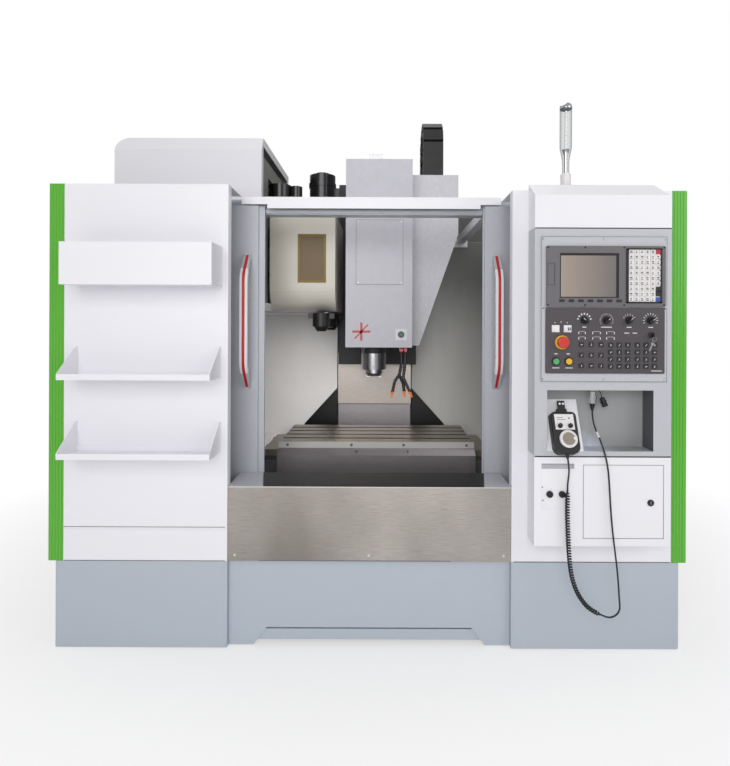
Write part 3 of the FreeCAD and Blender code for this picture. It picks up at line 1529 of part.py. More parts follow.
def tool_change_arm():
    pivot = place("z", arm_x, saddle_middle(), 0)
    top = gearbox_bottom + arm_shaft_in
    low = arm_top - arm_height
    shaft = join([rod("z", (0, 0), arm_shaft_radius, (arm_top + seat, top)),
                  rod("z", (0, 0), arm_spigot, (low - arm_washer, arm_top + 1)),
                  rod("z", (0, 0), arm_spigot * 1.5, (low - arm_washer - seat, low - seat))])
    save("change_shaft", shaft.translated(pivot))
    hub = rod("z", (0, 0), arm_half_width * 0.9, (low, arm_top))
    beam = block(around(0, arm_half_width), around(0, 2 * arm_reach), (low + beam_low, arm_top - beam_high))
    ends = []
    for side in (-1, 1):
        y = side * arm_reach
        ends.append(rod("z", (0, y), arm_half_width * 0.68, (low, arm_top)))
        ends.append(block(around(0, 2 * arm_half_width), around(y, arm_half_width * 0.5),
                          (arm_top - 2 - finger_depth, arm_top - 2)))
        ends.append(Part.makeCone(arm_half_width * 0.35, arm_half_width * 0.6, collet_length,
                                  place("z", 0, y, low + 2 - collet_length)))
    arm = join([hub, beam] + ends).cut(rod("z", (0, 0), arm_spigot + running_gap, (low - 1, arm_top + 1)))
    for side in (-1, 1):
        bore_z = (low - 2 * collet_length, arm_top + 1)
        arm = arm.cut(rod("z", (0, side * arm_reach), arm_half_width * 0.25, bore_z))
    save("change_arm", arm.translated(pivot))


def tool_shelves():
    pieces = []
    right = shelf_left + shelf_width
    thin = pendant_sheet
    near = -shelf_reach
    bin_box = tray((tray_left + 7, right + 5), deep(near, -seat), (tray_bottom, tray_bottom + tray_height),
                   thin, "top")
    for x in (tray_left + 7, right + 5):
        bin_box = round_edge(bin_box, thin * 0.9, "z", x, behind(near))
    pieces.append(bin_box)
    for bottom in shelf_bottoms:
        floor = block((shelf_left, right), deep(near, -seat), (bottom, bottom + thin))
        lip = block((shelf_left, right), deep(near, near + thin), (bottom, bottom + shelf_lip))
        back = block((shelf_left, right), deep(-seat - thin, -seat), (bottom, bottom + shelf_lip))
        cheek = [(behind(near), bottom), (behind(near), bottom + shelf_lip),
                 (behind(-seat - 12), bottom + shelf_side),
                 (behind(-seat), bottom + shelf_side), (behind(-seat), bottom)]
        sides = [prism(cheek, "x", (shelf_left, shelf_left + thin)),
                 prism(cheek, "x", (right - thin, right))]
        pieces.append(join([floor, lip, back] + sides))
    save("tool_shelves", *pieces)


def cabinet_hinge(z, body_side):
    """One knuckle of a cabinet hinge; the cabinet carries the lower halves, the door the upper ones."""
    pivot = (cabinet_left - hinge_out, cabinet_door_near() - 1)
    if body_side:
        span = (z, z + hinge_length)
        leaf = block((cabinet_left - hinge_out, cabinet_left + 1), (pivot[1] - 25, pivot[1] - 4), span)
    else:
        span = (z + hinge_length + slide_gap, z + 2 * hinge_length)
        leaf = block((cabinet_left - hinge_out, cabinet_left + 1), (pivot[1] + 4, pivot[1] + 14), span)
    return join([rod("z", pivot, hinge_radius, span), leaf])


def cabinet_door_near():
    return rear_y - switch_reach - cabinet_door_thickness


def electrical_cabinet():
    x = (cabinet_left, cabinet_left + cabinet_width)
    z = (cabinet_bottom, cabinet_bottom + cabinet_height)
    near = behind(enclosure_depth + seat)
    shell = tray(x, (near, cabinet_door_near() - seam), z, pendant_sheet, "back")
    room = cabinet_door_near() - near

    def layer(start, end):
        return (near + start * room, near + end * room)

    board_x = (x[0] + board_inset, x[1] - board_inset)
    board_z = (z[0] + 1.5 * board_inset, z[1] - 1.5 * board_inset)
    board = block(board_x, layer(*board_layer), board_z)
    studs = [rod("y", (sx, sz), stud_radius, layer(0, board_layer[1])) for sx in board_x for sz in board_z]
    rows = []
    row_pitch = (board_z[1] - board_z[0]) / cabinet_rows
    device_pitch = (board_x[1] - board_x[0]) / devices_per_row
    for row in range(cabinet_rows):
        middle = board_z[0] + (row + 0.5) * row_pitch
        rows.append(block(board_x, layer(*rail_layer), around(middle, 0.1 * row_pitch)))
        for index in range(devices_per_row):
            spot = board_x[0] + (index + 0.5) * device_pitch
            rows.append(block(around(spot, device_pitch * (0.85 - 0.1 * row)),
                              layer(rail_layer[1], device_share + 0.045 * row),
                              around(middle, 0.3 * row_pitch)))
    hinges = [cabinet_hinge(h, True) for h in hinge_places]
    save("electrical_cabinet", join([shell, board] + studs + rows + hinges))
    door_y = (cabinet_door_near(), cabinet_door_near() + cabinet_door_thickness)
    leaf = tray(x, door_y, z, pendant_sheet, "front")
    outer = door_y[1]
    switch = (x[1] - cabinet_switch_in, cabinet_switch_z)
    disc = outer + switch_disc_height
    knob = join([rod("y", switch, switch_disc, (outer, disc)),
                 block(around(switch[0], switch_grip[0]), (disc, rear_y), around(switch[1], switch_grip[1])),
                 rod("y", switch, switch_hub, (disc, disc + 2 * sheet))])
    latch_x = x[1] - latch_in
    plate = outer + latch_thickness
    latch = join([block(around(latch_x, latch_plate[0]), (outer, plate), around(latch_z, latch_plate[1])),
                  block(around(latch_x, latch_grip[0]), (plate, outer + latch_reach),
                        around(latch_z - 2 * latch_thickness, latch_grip[1]))])
    save("cabinet_door", join([leaf, knob, latch] + [cabinet_hinge(h, False) for h in hinge_places]))


def pendant_covers():
    x = (pendant_left, pendant_right)
    near, far = -pendant_reach, -seat
    thin = pendant_sheet

    def cap(inset, open_by):
        low = cap_bottom + seam / 2 - open_by
        profile = [(behind(near + inset), low), (behind(near + inset), cap_crease - inset),
                   (behind(far + open_by),
                    cap_top - inset + (open_by * (cap_top - cap_crease) / pendant_reach)),
                   (behind(far + open_by), low)]
        solid = prism(profile, "x", (x[0] + inset, x[1] - inset))
        corner = prism([(x[1] - inset + 1, cap_top - cap_corner * 3.4 - inset),
                        (x[1] - inset + 1, cap_top + 2),
                        (x[1] - cap_corner - inset, cap_top + 2), (x[1] - cap_corner - inset,
                                                                   cap_top - inset)],
                       "y", deep(near - 1, far + 2))
        return solid.cut(corner)

    hood = cap(0, 0).cut(cap(thin, 2))
    z = (pendant_bottom, body_bottom - seam / 2)
    base = tray(x, deep(near, far), z, thin, "back")
    drawer = block((drawer_left - seam / 2, drawer_right + seam / 2), deep(near - 1, near + thin + 1),
                   (drawer_bottom - seam / 2, drawer_top + seam / 2))
    slot = block(slot_x, deep(near - 1, near + thin + 1), slot_z)
    base = base.cut(drawer).cut(slot)
    back_of_slot = tray((slot_x[0] - thin, slot_x[1] + thin), deep(near + thin / 2, near + 14),
                        (slot_z[0] - thin, slot_z[1] + thin), thin, "front")
    stops = [rod("y", (sx, switch_z), switch_radius, deep(near - 8, near + 1)) for sx in switch_places]
    save("pendant_covers", hood, join([base, back_of_slot] + stops))


def pendant_door():
    thin = pendant_sheet
    near = -pendant_reach
    x = (drawer_left + seam / 2, drawer_right - seam / 2)
    z = (drawer_bottom + seam / 2, drawer_top - seam / 2)
    leaf = tray(x, deep(near, near + drawer_fold), z, thin, "back")
    lock = join([rod("y", (lock_x, lock_z), switch_radius, deep(near - 3, near + 1)),
                 rod("y", (lock_x, lock_z), switch_radius * 0.8, deep(near, near + 11))])
    slit = block(around(lock_x, 2), deep(near - 4, near - 1.5), around(lock_z, 12))
    save("pendant_door", join([leaf, lock]).cut(slit))


def panel_front():
    """The Y of the console's outer face."""
    return behind(-pendant_reach) - 2 * seat - plate_thickness - console_thickness


def pendant_body():
    thin = pendant_sheet
    near = -pendant_reach
    x = (pendant_left, pendant_right)
    z = (body_bottom + seam / 2, cap_bottom - seam / 2)
    shell = tray(x, deep(near, -seat), z, thin, "back")
    room_x = (recess_left, recess_right)
    room_z = (recess_bottom, recess_top)
    shell = shell.cut(block(room_x, deep(near - 1, near + thin + 1), room_z))
    recess = tray((room_x[0] - thin, room_x[1] + thin), deep(near, near + recess_depth + thin),
                  (room_z[0] - thin, room_z[1] + thin), thin, "front")
    face = behind(near)
    back = face + recess_depth + 1
    floor_z = room_z[0] - 1
    wedge = prism([(face, floor_z), (face, floor_z + 2), (back, wedge_top), (back, floor_z)], "x",
                  (room_x[0] - 1, wedge_right))
    axis = (plug_x, behind(plug_behind))
    socket = join([rod("z", axis, socket_radius, (room_z[1] - socket_proud, room_z[1] + thin / 2)),
                   rod("z", axis, relief_radius, (room_z[1] - socket_proud - 1, room_z[1]))])
    body = join([shell, recess, wedge, socket])
    for x_hole, z_hole, radius in button_bores():
        body = body.cut(rod("y", (x_hole, z_hole), radius + slide_gap, deep(near - 1, near + button_room)))
    save("pendant_body", body)


def button_bores():
    return [(stop_x, stop_z, stop_stem_radius), (start_x, button_z, button_radius),
            (hold_x, button_z, button_radius)]


def operation_panel():
    face = behind(-pendant_reach) - seat
    front = face - plate_thickness
    plate = block((plate_left, plate_right), (front, face), (plate_bottom, plate_top))
    screws = []
    for sx in (plate_left + plate_edge, (plate_left + plate_right) / 2, plate_right - plate_edge):
        for sz in (plate_bottom + plate_edge, plate_top - plate_edge):
            screws.append(rod("y", (sx, sz), plate_screw, (front - 2, front + 1)))
    for sx in (plate_left + plate_screw + 1, plate_right - plate_screw - 1):
        screws.append(rod("y", (sx, console_top + sheet / 2), plate_screw, (front - 2, front + 1)))
    outer = panel_front()
    x = (display_left - 1, display_right - 1)
    console = block(x, (outer, front - seat), (console_bottom, console_top))
    for ex in x:
        for ez in (console_bottom, console_top):
            console = round_edge(console, console_round, "y", ex, ez)
    ring = Part.makeCone(stop_radius + 3, stop_radius + 7, stop_ring,
                         FreeCAD.Vector(stop_x, outer - stop_ring, stop_z), FreeCAD.Vector(0, 1, 0))
    rockers = []
    low, high = around(rocker_z, paddle_height)
    for rx in rocker_places:
        frame = block(around(rx, rocker_width), (outer - 2, outer), around(rocker_z, rocker_height))
        wedge = [(outer - paddle_proud, low), (outer - 2, high), (outer - 1, high), (outer - 1, low)]
        paddle = prism(wedge, "x", around(rx, paddle_width))
        rockers.append(join([frame, paddle]))
    barrel = rod("y", (key_x, key_z), barrel_radius, (outer - barrel_proud, outer))
    key = block(around(key_x, 3), (outer - barrel_proud - key_reach, outer - barrel_proud + 1),
                around(key_z, key_height))
    console = join([console, ring, join([barrel, key])] + rockers)
    for x_hole, z_hole, radius in button_bores():
        bore = rod("y", (x_hole, z_hole), radius + slide_gap, (outer - 2 * stop_ring, face + 1))
        console = console.cut(bore)
        plate = plate.cut(bore)
    save("operation_panel", join([plate] + screws), console)


def display_unit():
    front = behind(-pendant_reach) - 2 * seat - plate_thickness
    y = (front - display_thickness, front)
    body = block((display_left, display_right), y, (display_bottom, display_top))
    for ex in (display_left, display_right):
        for ez in (display_bottom, display_top):
            body = round_edge(body, 4, "y", ex, ez)
    screen = block((screen_left, screen_left + screen_width), (y[0] - 1, y[0] + 2),
                   (screen_bottom, screen_bottom + screen_height))
    pad_x = (keyboard_left - 4, keyboard_left + keyboard_columns * keyboard_pitch_x + 4)
    pad_z = (keyboard_bottom - 4, keyboard_bottom + keyboard_rows * keyboard_pitch_z + 4)
    pad = block(pad_x, (y[0] - 1, y[0] + 2), pad_z)
    card_x = (card_left, card_left + card_width)
    card_z = (card_bottom, card_bottom + card_height)
    card = block(card_x, (y[0] - 1, y[0] + 0.8), card_z)
    card_door = block((card_x[0] + 1, card_x[1] - 1), (y[0], y[0] + 1), (card_z[0] + 1, card_z[1] - 1))
    body = body.cut(screen).cut(pad).cut(card)
    save("display_unit", join([body, card_door]))


def panel_keys():
    face = behind(-pendant_reach) - 2 * seat - plate_thickness - display_thickness
    floor = face + 2
    keys = []
    web = 0.8
    pad = block((keyboard_left - 1, keyboard_left + keyboard_columns * keyboard_pitch_x + 1),
                (floor - seat - web, floor - seat),
                (keyboard_bottom - 1, keyboard_bottom + keyboard_rows * keyboard_pitch_z + 1))
    for column in range(keyboard_columns):
        for row in range(keyboard_rows):
            x = keyboard_left + (column + 0.5) * keyboard_pitch_x
            z = keyboard_bottom + (row + 0.5) * keyboard_pitch_z
            keys.append(block(around(x, 15), (floor - 5, floor - seat), around(z, 14.6)))
    groups = [join([pad] + keys)]
    for index in range(soft_key_count):
        x = soft_key_left + index * soft_key_pitch
        groups.append(block(around(x, 18), (face - 2.5, face - seat), around(soft_key_z, 9)))
    base = panel_front() - seat
    for columns, rows in console_keys:
        for x in columns:
            for z in rows:
                groups.append(block(around(x, key_size), (base - 3, base), around(z, key_size)))
    save("panel_keys", *groups)


def knobs():
    face = panel_front() - seat
    for node, x in zip(("mode_knob", "feed_knob", "spindle_knob", "rapid_knob"), knob_places):
        skirt = Part.makeCone(knob_radius, knob_radius * 0.85, 6, FreeCAD.Vector(x, face, knob_z),
                              FreeCAD.Vector(0, -1, 0))
        grip = block(around(x, knob_radius * 0.62), (face - knob_height, face - 5),
                     around(knob_z, knob_radius * 1.9))
        knob = join([skirt, grip])
        knob.rotate(FreeCAD.Vector(x, 0, knob_z), FreeCAD.Vector(0, 1, 0), knob_turns[node])
        save(node, knob)


def buttons():
    face = panel_front()
    head = face - stop_ring - stop_travel - 2 * seat
    crown = head - stop_head_height
    top = rod("y", (stop_x, stop_z), stop_radius, (crown, head))
    top = top.makeFillet(stop_round, [edge for edge in top.Edges if abs(edge.CenterOfMass.y - crown) < 0.01])
    stem = rod("y", (stop_x, stop_z), stop_stem_radius, (head - 1, face + stop_stem_depth))
    save("emergency_stop", join([top, stem]))
    push_button("cycle_start", start_x, button_z, face, button_radius, *panel_button)
    push_button("feed_hold", hold_x, button_z, face, button_radius, *panel_button)
    push_button("unclamp_button", unclamp_x, unclamp_z, behind(hood_front - plate_proud), button_radius,
                *head_button)


def lean(shape):
    """Lay a shape that was drawn standing at the origin against the sloping board of the recess."""
    shape.rotate(FreeCAD.Vector(0, 0, 0), FreeCAD.Vector(1, 0, 0), -board_angle())
    return shape.translated(FreeCAD.Vector(unit_x, behind(unit_foot_behind), unit_bottom))


def board_angle():
    return math.degrees(math.atan2(recess_depth, wedge_top - recess_bottom))


def handwheel():
    half = unit_width / 2
    thick = unit_thickness
    head = unit_height
    body = block((-half, half), (-thick, 0), (0, head))
    for x in (-half, half):
        body = round_edge(body, unit_foot_round, "y", x, 0)
        body = round_edge(body, unit_head_round, "y", x, head)
    front = [edge for edge in body.Edges if all(abs(v.Point.y + thick) < 0.01 for v in edge.Vertexes)]
    body = body.makeFillet(unit_front_round, front)
    neck = block(around(0, neck_width), (-thick + neck_set, -sheet * 2), (head - 2, head + neck_rise))
    hook_y = (-thick + hook_set, -thick + hook_set + hook_thickness)
    hook = block(around(0, hook_width), hook_y, (head + neck_rise / 2, head + hook_rise))
    studs = [rod("y", (x, head + stud_up), stud_head, (hook_y[0] - stud_head, hook_y[0] + 1))
             for x in (-stud_spread / 2, stud_spread / 2)]
    face_z = (head - face_plate_down - face_plate_height, head - face_plate_down)
    plate = block(around(0, face_plate_width), (-thick - 1, -thick + 1), face_z)
    dials = []
    for x in (-selector_spread / 2, selector_spread / 2):
        z = head - selector_down
        top = -thick - selector_height
        dials.append(rod("y", (x, z), selector_radius, (top, -thick)))
        pointer_z = around(z, selector_pointer[1])
        dials.append(block(around(x, selector_pointer[0]), (top - 3, top + 1), pointer_z))
    gland = Part.makeCone(gland_radii[0], gland_radii[1], gland_length, FreeCAD.Vector(0, -thick / 2, 1),
                          FreeCAD.Vector(0, 0, -1))
    bore_y = (-thick - 1, -thick + dial_shaft_depth + 2)
    bore = rod("y", (dial_offset, dial_up), dial_shaft_radius + slide_gap, bore_y)
    whole = join([body, neck, hook, plate, gland] + studs + dials).cut(bore)
    save("handwheel_body", lean(whole))
    face = -thick - seat
    outer = face - dial_thickness
    wheel = rod("y", (dial_offset, dial_up), dial_radius, (outer, face))
    rim = [edge for edge in wheel.Edges if abs(edge.CenterOfMass.y - outer) < 0.01]
    wheel = wheel.makeFillet(dial_rim_round, rim)
    finger_x = dial_offset + dial_radius * finger_share
    finger = rod("y", (finger_x, dial_up), finger_radius, (outer - finger_height, outer + 1))
    shaft = rod("y", (dial_offset, dial_up), dial_shaft_radius, (face - 1, -thick + dial_shaft_depth))
    save("handwheel_dial", lean(join([wheel, finger, shaft])))


def signal_lamp():
    centre = (lamp_x, behind(lamp_behind))
    low = right_top + seat
    top = right_top + lamp_height
    foot = rod("z", centre, lamp_radius * 1.2, (low, low + lamp_foot))
    neck = rod("z", centre, lamp_radius * 0.55, (low + lamp_foot - 1, low + lamp_neck))
    collar = rod("z", centre, lamp_radius, (low + lamp_neck - 1, low + 2 * lamp_neck))
    tube = rod("z", centre, lamp_radius * 0.96, (low + 2 * lamp_neck - 1, top - lamp_cap + 1))
    cap = rod("z", centre, lamp_radius, (top - lamp_cap, top))
    rim = [edge for edge in cap.Edges if abs(edge.CenterOfMass.z - top) < 0.01]
    cap = cap.makeFillet(lamp_radius * 0.6, rim)
    save("signal_lamp", join([foot, neck, collar, tube, cap]))


def route_points(points):
    return [FreeCAD.Vector(x, behind(d), z) for x, d, z in points]


def smooth_route(points, diameter, name):
    """Straight runs with a tangent arc at every inner point; the radii are printed."""
    edges = []
    at = points[0]
    radii = []
    for before, corner, after in zip(points, points[1:], points[2:]):
        into = (corner - before).normalize()
        out = (after - corner).normalize()
        half = into.getAngle(out) / 2
        shorter = min((corner - before).Length, (after - corner).Length)
        cut = 0.45 * shorter
        radius = cut / math.tan(half)
        start = corner - into * cut
        end = corner + out * cut
        chord = (start + end) * 0.5
        inward = (chord - corner).normalize()
        centre = corner + inward * (radius / math.cos(half))
        middle = centre - inward * radius
        edges.append(Part.LineSegment(at, start).toShape())
        edges.append(Part.Arc(start, middle, end).toShape())
        at = end
        radii.append(round(radius / diameter, 1))
    edges.append(Part.LineSegment(at, points[-1]).toShape())
    print(name, "radii in diameters", radii)
    return Part.Wire(edges)


def tube_along(wire, radius):
    start = wire.Edges[0]
    ring = Part.Wire([Part.makeCircle(radius, start.valueAt(start.FirstParameter),
                                      start.tangentAt(start.FirstParameter))])
    return wire.makePipeShell([ring], True, False)


def biarc(start, lead, end, follow):
    """Two arcs that leave start along lead and reach end along follow."""
    span = end - start
    both = lead + follow
    bend = 2 * (1 - lead.dot(follow))
    reach = (math.sqrt(span.dot(both) ** 2 + bend * span.dot(span)) - span.dot(both)) / bend
    first = start + lead * reach
    second = end - follow * reach
    joint = (first + second) * 0.5

    def arc(a, tip, b):
        base = (a + b) * 0.5
        rise = tip - base
        turn = math.atan2(rise.Length, (b - a).Length / 2)
        middle = base + rise.normalize() * ((b - a).Length / 2 * math.tan(turn / 2))
        return Part.Arc(a, middle, b).toShape()

    return [arc(start, first, joint), arc(joint, second, end)]


def curly_cord():
    """The curled stretch: a helix about its route, one unbroken tube with straight ends."""
    route = smooth_route(route_points(coil_route), cord_diameter, "curly stretch")
    total = route.Length
    turns = round((total - 2 * coil_end) / coil_pitch)
    pitch = (total - 2 * coil_end) / turns
    radius = (coil_diameter - cord_diameter) / 2
    dense = route.discretize(Number=1 + coil_samples * turns)

    def spot(along):
        place_at = along / total * (len(dense) - 1)
        low = min(int(place_at), len(dense) - 2)
        share = place_at - low
        centre = dense[low] * (1 - share) + dense[low + 1] * share
        ahead = (dense[min(low + 2, len(dense) - 1)] - dense[max(low - 1, 0)]).normalize()
        across = ahead.cross(FreeCAD.Vector(0, 1, 0)).normalize()
        lift = across.cross(ahead)
        angle = 2 * math.pi * (along - coil_end) / pitch
        swing = min(1, along / coil_end, (total - along) / coil_end)
        swing = swing * swing * (3 - 2 * swing)
        return centre + (across * math.cos(angle) + lift * math.sin(angle)) * (radius * swing)

    def heading(along):
        tiny = 0.01
        return (spot(min(along + tiny, total)) - spot(max(along - tiny, 0))).normalize()

    count = round(2 * total / pitch)
    stations = [total * index / count for index in range(count + 1)]
    points = [spot(s) for s in stations]
    headings = [heading(s) for s in stations]
    head = points[0] - headings[0] * cord_diameter
    tail = points[-1] + headings[-1] * cord_diameter
    edges = [Part.LineSegment(head, points[0]).toShape()]
    for index in range(count):
        edges += biarc(points[index], headings[index], points[index + 1], headings[index + 1])
    edges.append(Part.LineSegment(points[-1], tail).toShape())
    wire = Part.Wire(edges)
    save("handwheel_cord_coil", tube_along(wire, cord_diameter / 2))
    line = wire.discretize(Number=coil_samples * turns)
    skip = int(2.2 * cord_diameter * len(line) / wire.Length) + 1
    gap = min((line[i] - line[j]).Length for i in range(len(line))
              for j in range(i + skip, min(i + skip + 3 * coil_samples, len(line))))
    print("curls", turns, "least gap to itself", round(gap - cord_diameter, 2))
    return head, tail


def handwheel_cord():
    head, tail = curly_cord()
    upper = route_points(upper_route) + [head + (head - route_points(coil_route)[0]).normalize() * seat]
    save("handwheel_cord", tube_along(smooth_route(upper, cord_diameter, "upper stretch"),
                                      cord_diameter / 2))
    lower = [tail + (tail - route_points(coil_route)[-1]).normalize() * seat] + route_points(lower_route)
    save("handwheel_cord_tail", tube_along(smooth_route(lower, cord_diameter, "lower stretch"),
                                           cord_diameter / 2))
    axis = (plug_x, behind(plug_behind))
    nut = plug_bottom + plug_nut_up
    silver = join([rod("z", axis, plug_radius, (plug_bottom + relief_length - 1, plug_top)),
                   rod("z", axis, plug_nut_radius, (nut, nut + plug_nut_height))])
    relief = Part.makeCone(cord_diameter / 2 + 1.5, relief_radius, relief_length,
                           place("z", *axis, plug_bottom))
    socket = rod("z", axis, cord_diameter / 2 + seat, (plug_bottom - 1, plug_bottom + cord_in_plug))
    save("handwheel_plug", join([silver, relief]).cut(socket))


os.makedirs("parts", exist_ok=True)
base_covers()
front_panels()
side_panels()
corner_trims()
door_tracks()
front_apron()
splash_walls()
column_guards()
doors()
levelling_feet()
coolant_tank()
bed_casting()
column_casting()
fixed_guideways()
saddle()
middle_way_cover()
fixed_way_covers()
table()
table_front_guard()
head_casting()
head_cover()
head_side_cover()
spindle()
head_way_covers()
coolant_hoses()
drag_chain()
magazine_cover()
magazine_case()
magazine_disc()
tool_change_gearbox()
tool_change_arm()
tool_shelves()
electrical_cabinet()
pendant_covers()
pendant_door()
pendant_body()
operation_panel()
display_unit()
panel_keys()
knobs()
buttons()
handwheel()
handwheel_cord()
signal_lamp()
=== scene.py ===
import math
import bpy
import bmesh
from mathutils import Matrix, Vector


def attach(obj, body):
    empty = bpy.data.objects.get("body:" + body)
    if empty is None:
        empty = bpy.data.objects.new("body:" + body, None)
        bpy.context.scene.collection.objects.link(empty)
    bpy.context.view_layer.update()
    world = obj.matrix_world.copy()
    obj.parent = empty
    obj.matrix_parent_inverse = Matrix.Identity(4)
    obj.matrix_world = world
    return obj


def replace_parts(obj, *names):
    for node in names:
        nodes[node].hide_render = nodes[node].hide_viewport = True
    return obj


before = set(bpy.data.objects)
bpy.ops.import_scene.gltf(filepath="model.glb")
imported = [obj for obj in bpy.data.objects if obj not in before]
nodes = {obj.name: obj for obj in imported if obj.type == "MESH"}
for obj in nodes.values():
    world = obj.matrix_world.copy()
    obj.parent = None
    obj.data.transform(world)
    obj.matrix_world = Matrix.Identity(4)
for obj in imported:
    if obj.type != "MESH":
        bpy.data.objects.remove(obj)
mm = 0.001
frontY = -0.975  # the plane of the front sheets, in metres
fromSheets = Matrix.Translation((0, -frontY, 0))  # counts a point's Y from that plane
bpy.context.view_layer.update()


# A point from its X, its distance behind the front sheets and its height, all in millimetres.
def place(x, behind, z):
    return Vector((x * mm, frontY + behind * mm, z * mm))


# An sRGB hex colour as the linear RGBA that shader sockets take.
def linear(hexColour):
    channels = [int(hexColour[i:i + 2], 16) / 255 for i in (1, 3, 5)]
    turned = [c / 12.92 if c <= 0.04045 else ((c + 0.055) / 1.055) ** 2.4 for c in channels]
    return (*turned, 1.0)


# A shader node with its settings. Each input is a plain value or another node's output to link.
def addNode(material, kind, inputs=(), **settings):
    node = material.node_tree.nodes.new(kind)
    for key, value in settings.items():
        setattr(node, key, value)
    for socket, value in dict(inputs).items():
        if hasattr(value, "is_output"):
            material.node_tree.links.new(value, node.inputs[socket])
        else:
            node.inputs[socket].default_value = value
    return node


def newMaterial(name, colour, roughness, metallic=0.0, coat=0.0):
    material = bpy.data.materials.new(name)
    material.use_nodes = True
    inputs = shaderOf(material).inputs
    inputs["Base Color"].default_value = linear(colour)
    inputs["Roughness"].default_value = roughness
    inputs["Metallic"].default_value = metallic
    inputs["Coat Weight"].default_value = coat
    return material


def shaderOf(material):
    return material.node_tree.nodes["Principled BSDF"]


# Link an output to a socket of the material's own shader.
def feed(material, output, socket):
    material.node_tree.links.new(output, shaderOf(material).inputs[socket])


# Noise in the piece's own metres, whose grain is sizeMm across and longer where stretch is less than one.
def pattern(material, sizeMm, stretch=(1, 1, 1), detail=2.0, roughness=0.5):
    spot = addNode(material, "ShaderNodeTexCoord")
    scaled = addNode(material, "ShaderNodeMapping", {"Vector": spot.outputs["Object"], "Scale": stretch})
    noise = addNode(material, "ShaderNodeTexNoise",
                    {"Vector": scaled.outputs["Vector"], "Scale": 1 / (sizeMm * mm),
                     "Detail": detail, "Roughness": roughness})
    return noise.outputs["Fac"]


# One axis of the place in the piece, in metres.
def axisOf(material, axis):
    spot = addNode(material, "ShaderNodeTexCoord")
    parts = addNode(material, "ShaderNodeSeparateXYZ", {"Vector": spot.outputs["Object"]})
    return parts.outputs[axis]


def addBump(material, height, depthMm, strength):
    bump = addNode(material, "ShaderNodeBump",
                   {"Height": height, "Distance": depthMm * mm, "Strength": strength})
    feed(material, bump.outputs["Normal"], "Normal")


# Carry a texture, most of which lies between 0.3 and 0.7, into a shader number between low and high.
def spread(material, value, low, high, socket):
    ranged = addNode(material, "ShaderNodeMapRange",
                     {"Value": value, "From Min": 0.3, "From Max": 0.7, "To Min": low, "To Max": high})
    feed(material, ranged.outputs["Result"], socket)


# Carry a texture into the colour, between two hex colours.
def tint(material, value, dark, light):
    mix = addNode(material, "ShaderNodeMix", {"Factor": value}, data_type="RGBA")
    mix.inputs["A"].default_value = linear(dark)
    mix.inputs["B"].default_value = linear(light)
    feed(material, mix.outputs["Result"], "Base Color")


# Powder-coated sheet with its fine orange peel, plain or with blotches that run to a second colour. Enamel,
# satin anodising, and the flat painted shade on the side of the magazine's hood and of the pendant's recess,
# have the same even skin here and are made with it too.
def powderPaint(name, colour, roughness, peelMm=2.5, peel=0.08, blotch=None, blotchMm=14.0):
    peelDepthMm, patchMm = 0.05, 320.0
    material = newMaterial(name, colour, roughness)
    addBump(material, pattern(material, peelMm), peelDepthMm, peel)
    if blotch:
        tint(material, pattern(material, blotchMm, detail=6.0, roughness=0.7), blotch, colour)
    patches = pattern(material, patchMm, detail=3.0)
    spread(material, patches, roughness - 0.04, roughness + 0.06, "Roughness")
    return material


# Metal whose fine lines run the way that stretch makes long, or with an even grain where it makes none long,
# and if asked with broad duller and brighter places.
def brushedMetal(name, dark, light, roughness, stretch, metallic=1.0, cloudMm=0):
    lineMm, lineDepthMm = 1.6, 0.03  # wider than the real lines, which wouldn't show in a picture
    material = newMaterial(name, light, roughness, metallic=metallic)
    lines = pattern(material, lineMm, stretch, detail=4.0, roughness=0.6)
    shade = lines
    if cloudMm:
        contrast = addNode(material, "ShaderNodeMath",
                           {0: pattern(material, cloudMm, (1, 1, 0.6)), 1: 2.2, 2: -0.6},
                           operation="MULTIPLY_ADD", use_clamp=True)
        clouded = addNode(material, "ShaderNodeMath", {0: lines, 1: contrast.outputs["Value"]},
                          operation="MULTIPLY")
        shade = clouded.outputs["Value"]
    tint(material, shade, dark, light)
    spread(material, lines, roughness - 0.07, roughness + 0.08, "Roughness")
    addBump(material, lines, lineDepthMm, 0.12)
    return material


# Painted cast iron, whose sand-cast skin shows as soft lumps.
def castPaint(name, colour, roughness):
    lumpMm, lumpDepthMm = 6.0, 0.4
    material = newMaterial(name, colour, roughness)
    addBump(material, pattern(material, lumpMm, detail=4.0), lumpDepthMm, 0.25)
    return material


# Moulded plastic or rubber with a fine matt grain, glossier over it where it has a coat. Screen print and
# the motors' thick enamel are made with it too.
def moulded(name, colour, roughness, coat=0.0):
    grainMm, grainDepthMm = 0.9, 0.03  # coarser than the real grain, which wouldn't show in a picture
    material = newMaterial(name, colour, roughness, coat=coat)
    addBump(material, pattern(material, grainMm), grainDepthMm, 0.15)
    return material


# Clear plastic that tints what lies behind it, and does so more where it is seen edge on.
def clearSheet(name, colour, alpha, roughness=0.04, edge=0.0):
    streakMm = 60.0
    material = newMaterial(name, colour, roughness)
    shaderOf(material).inputs["Alpha"].default_value = alpha
    if edge:
        facing = addNode(material, "ShaderNodeLayerWeight", {"Blend": 0.3})
        grown = addNode(material, "ShaderNodeMapRange", {"Value": facing.outputs["Facing"],
                                                         "To Min": alpha, "To Max": edge})
        feed(material, grown.outputs["Result"], "Alpha")
    streaks = pattern(material, streakMm, (1, 1, 0.2))
    spread(material, streaks, roughness, roughness + 0.05, "Roughness")
    return material
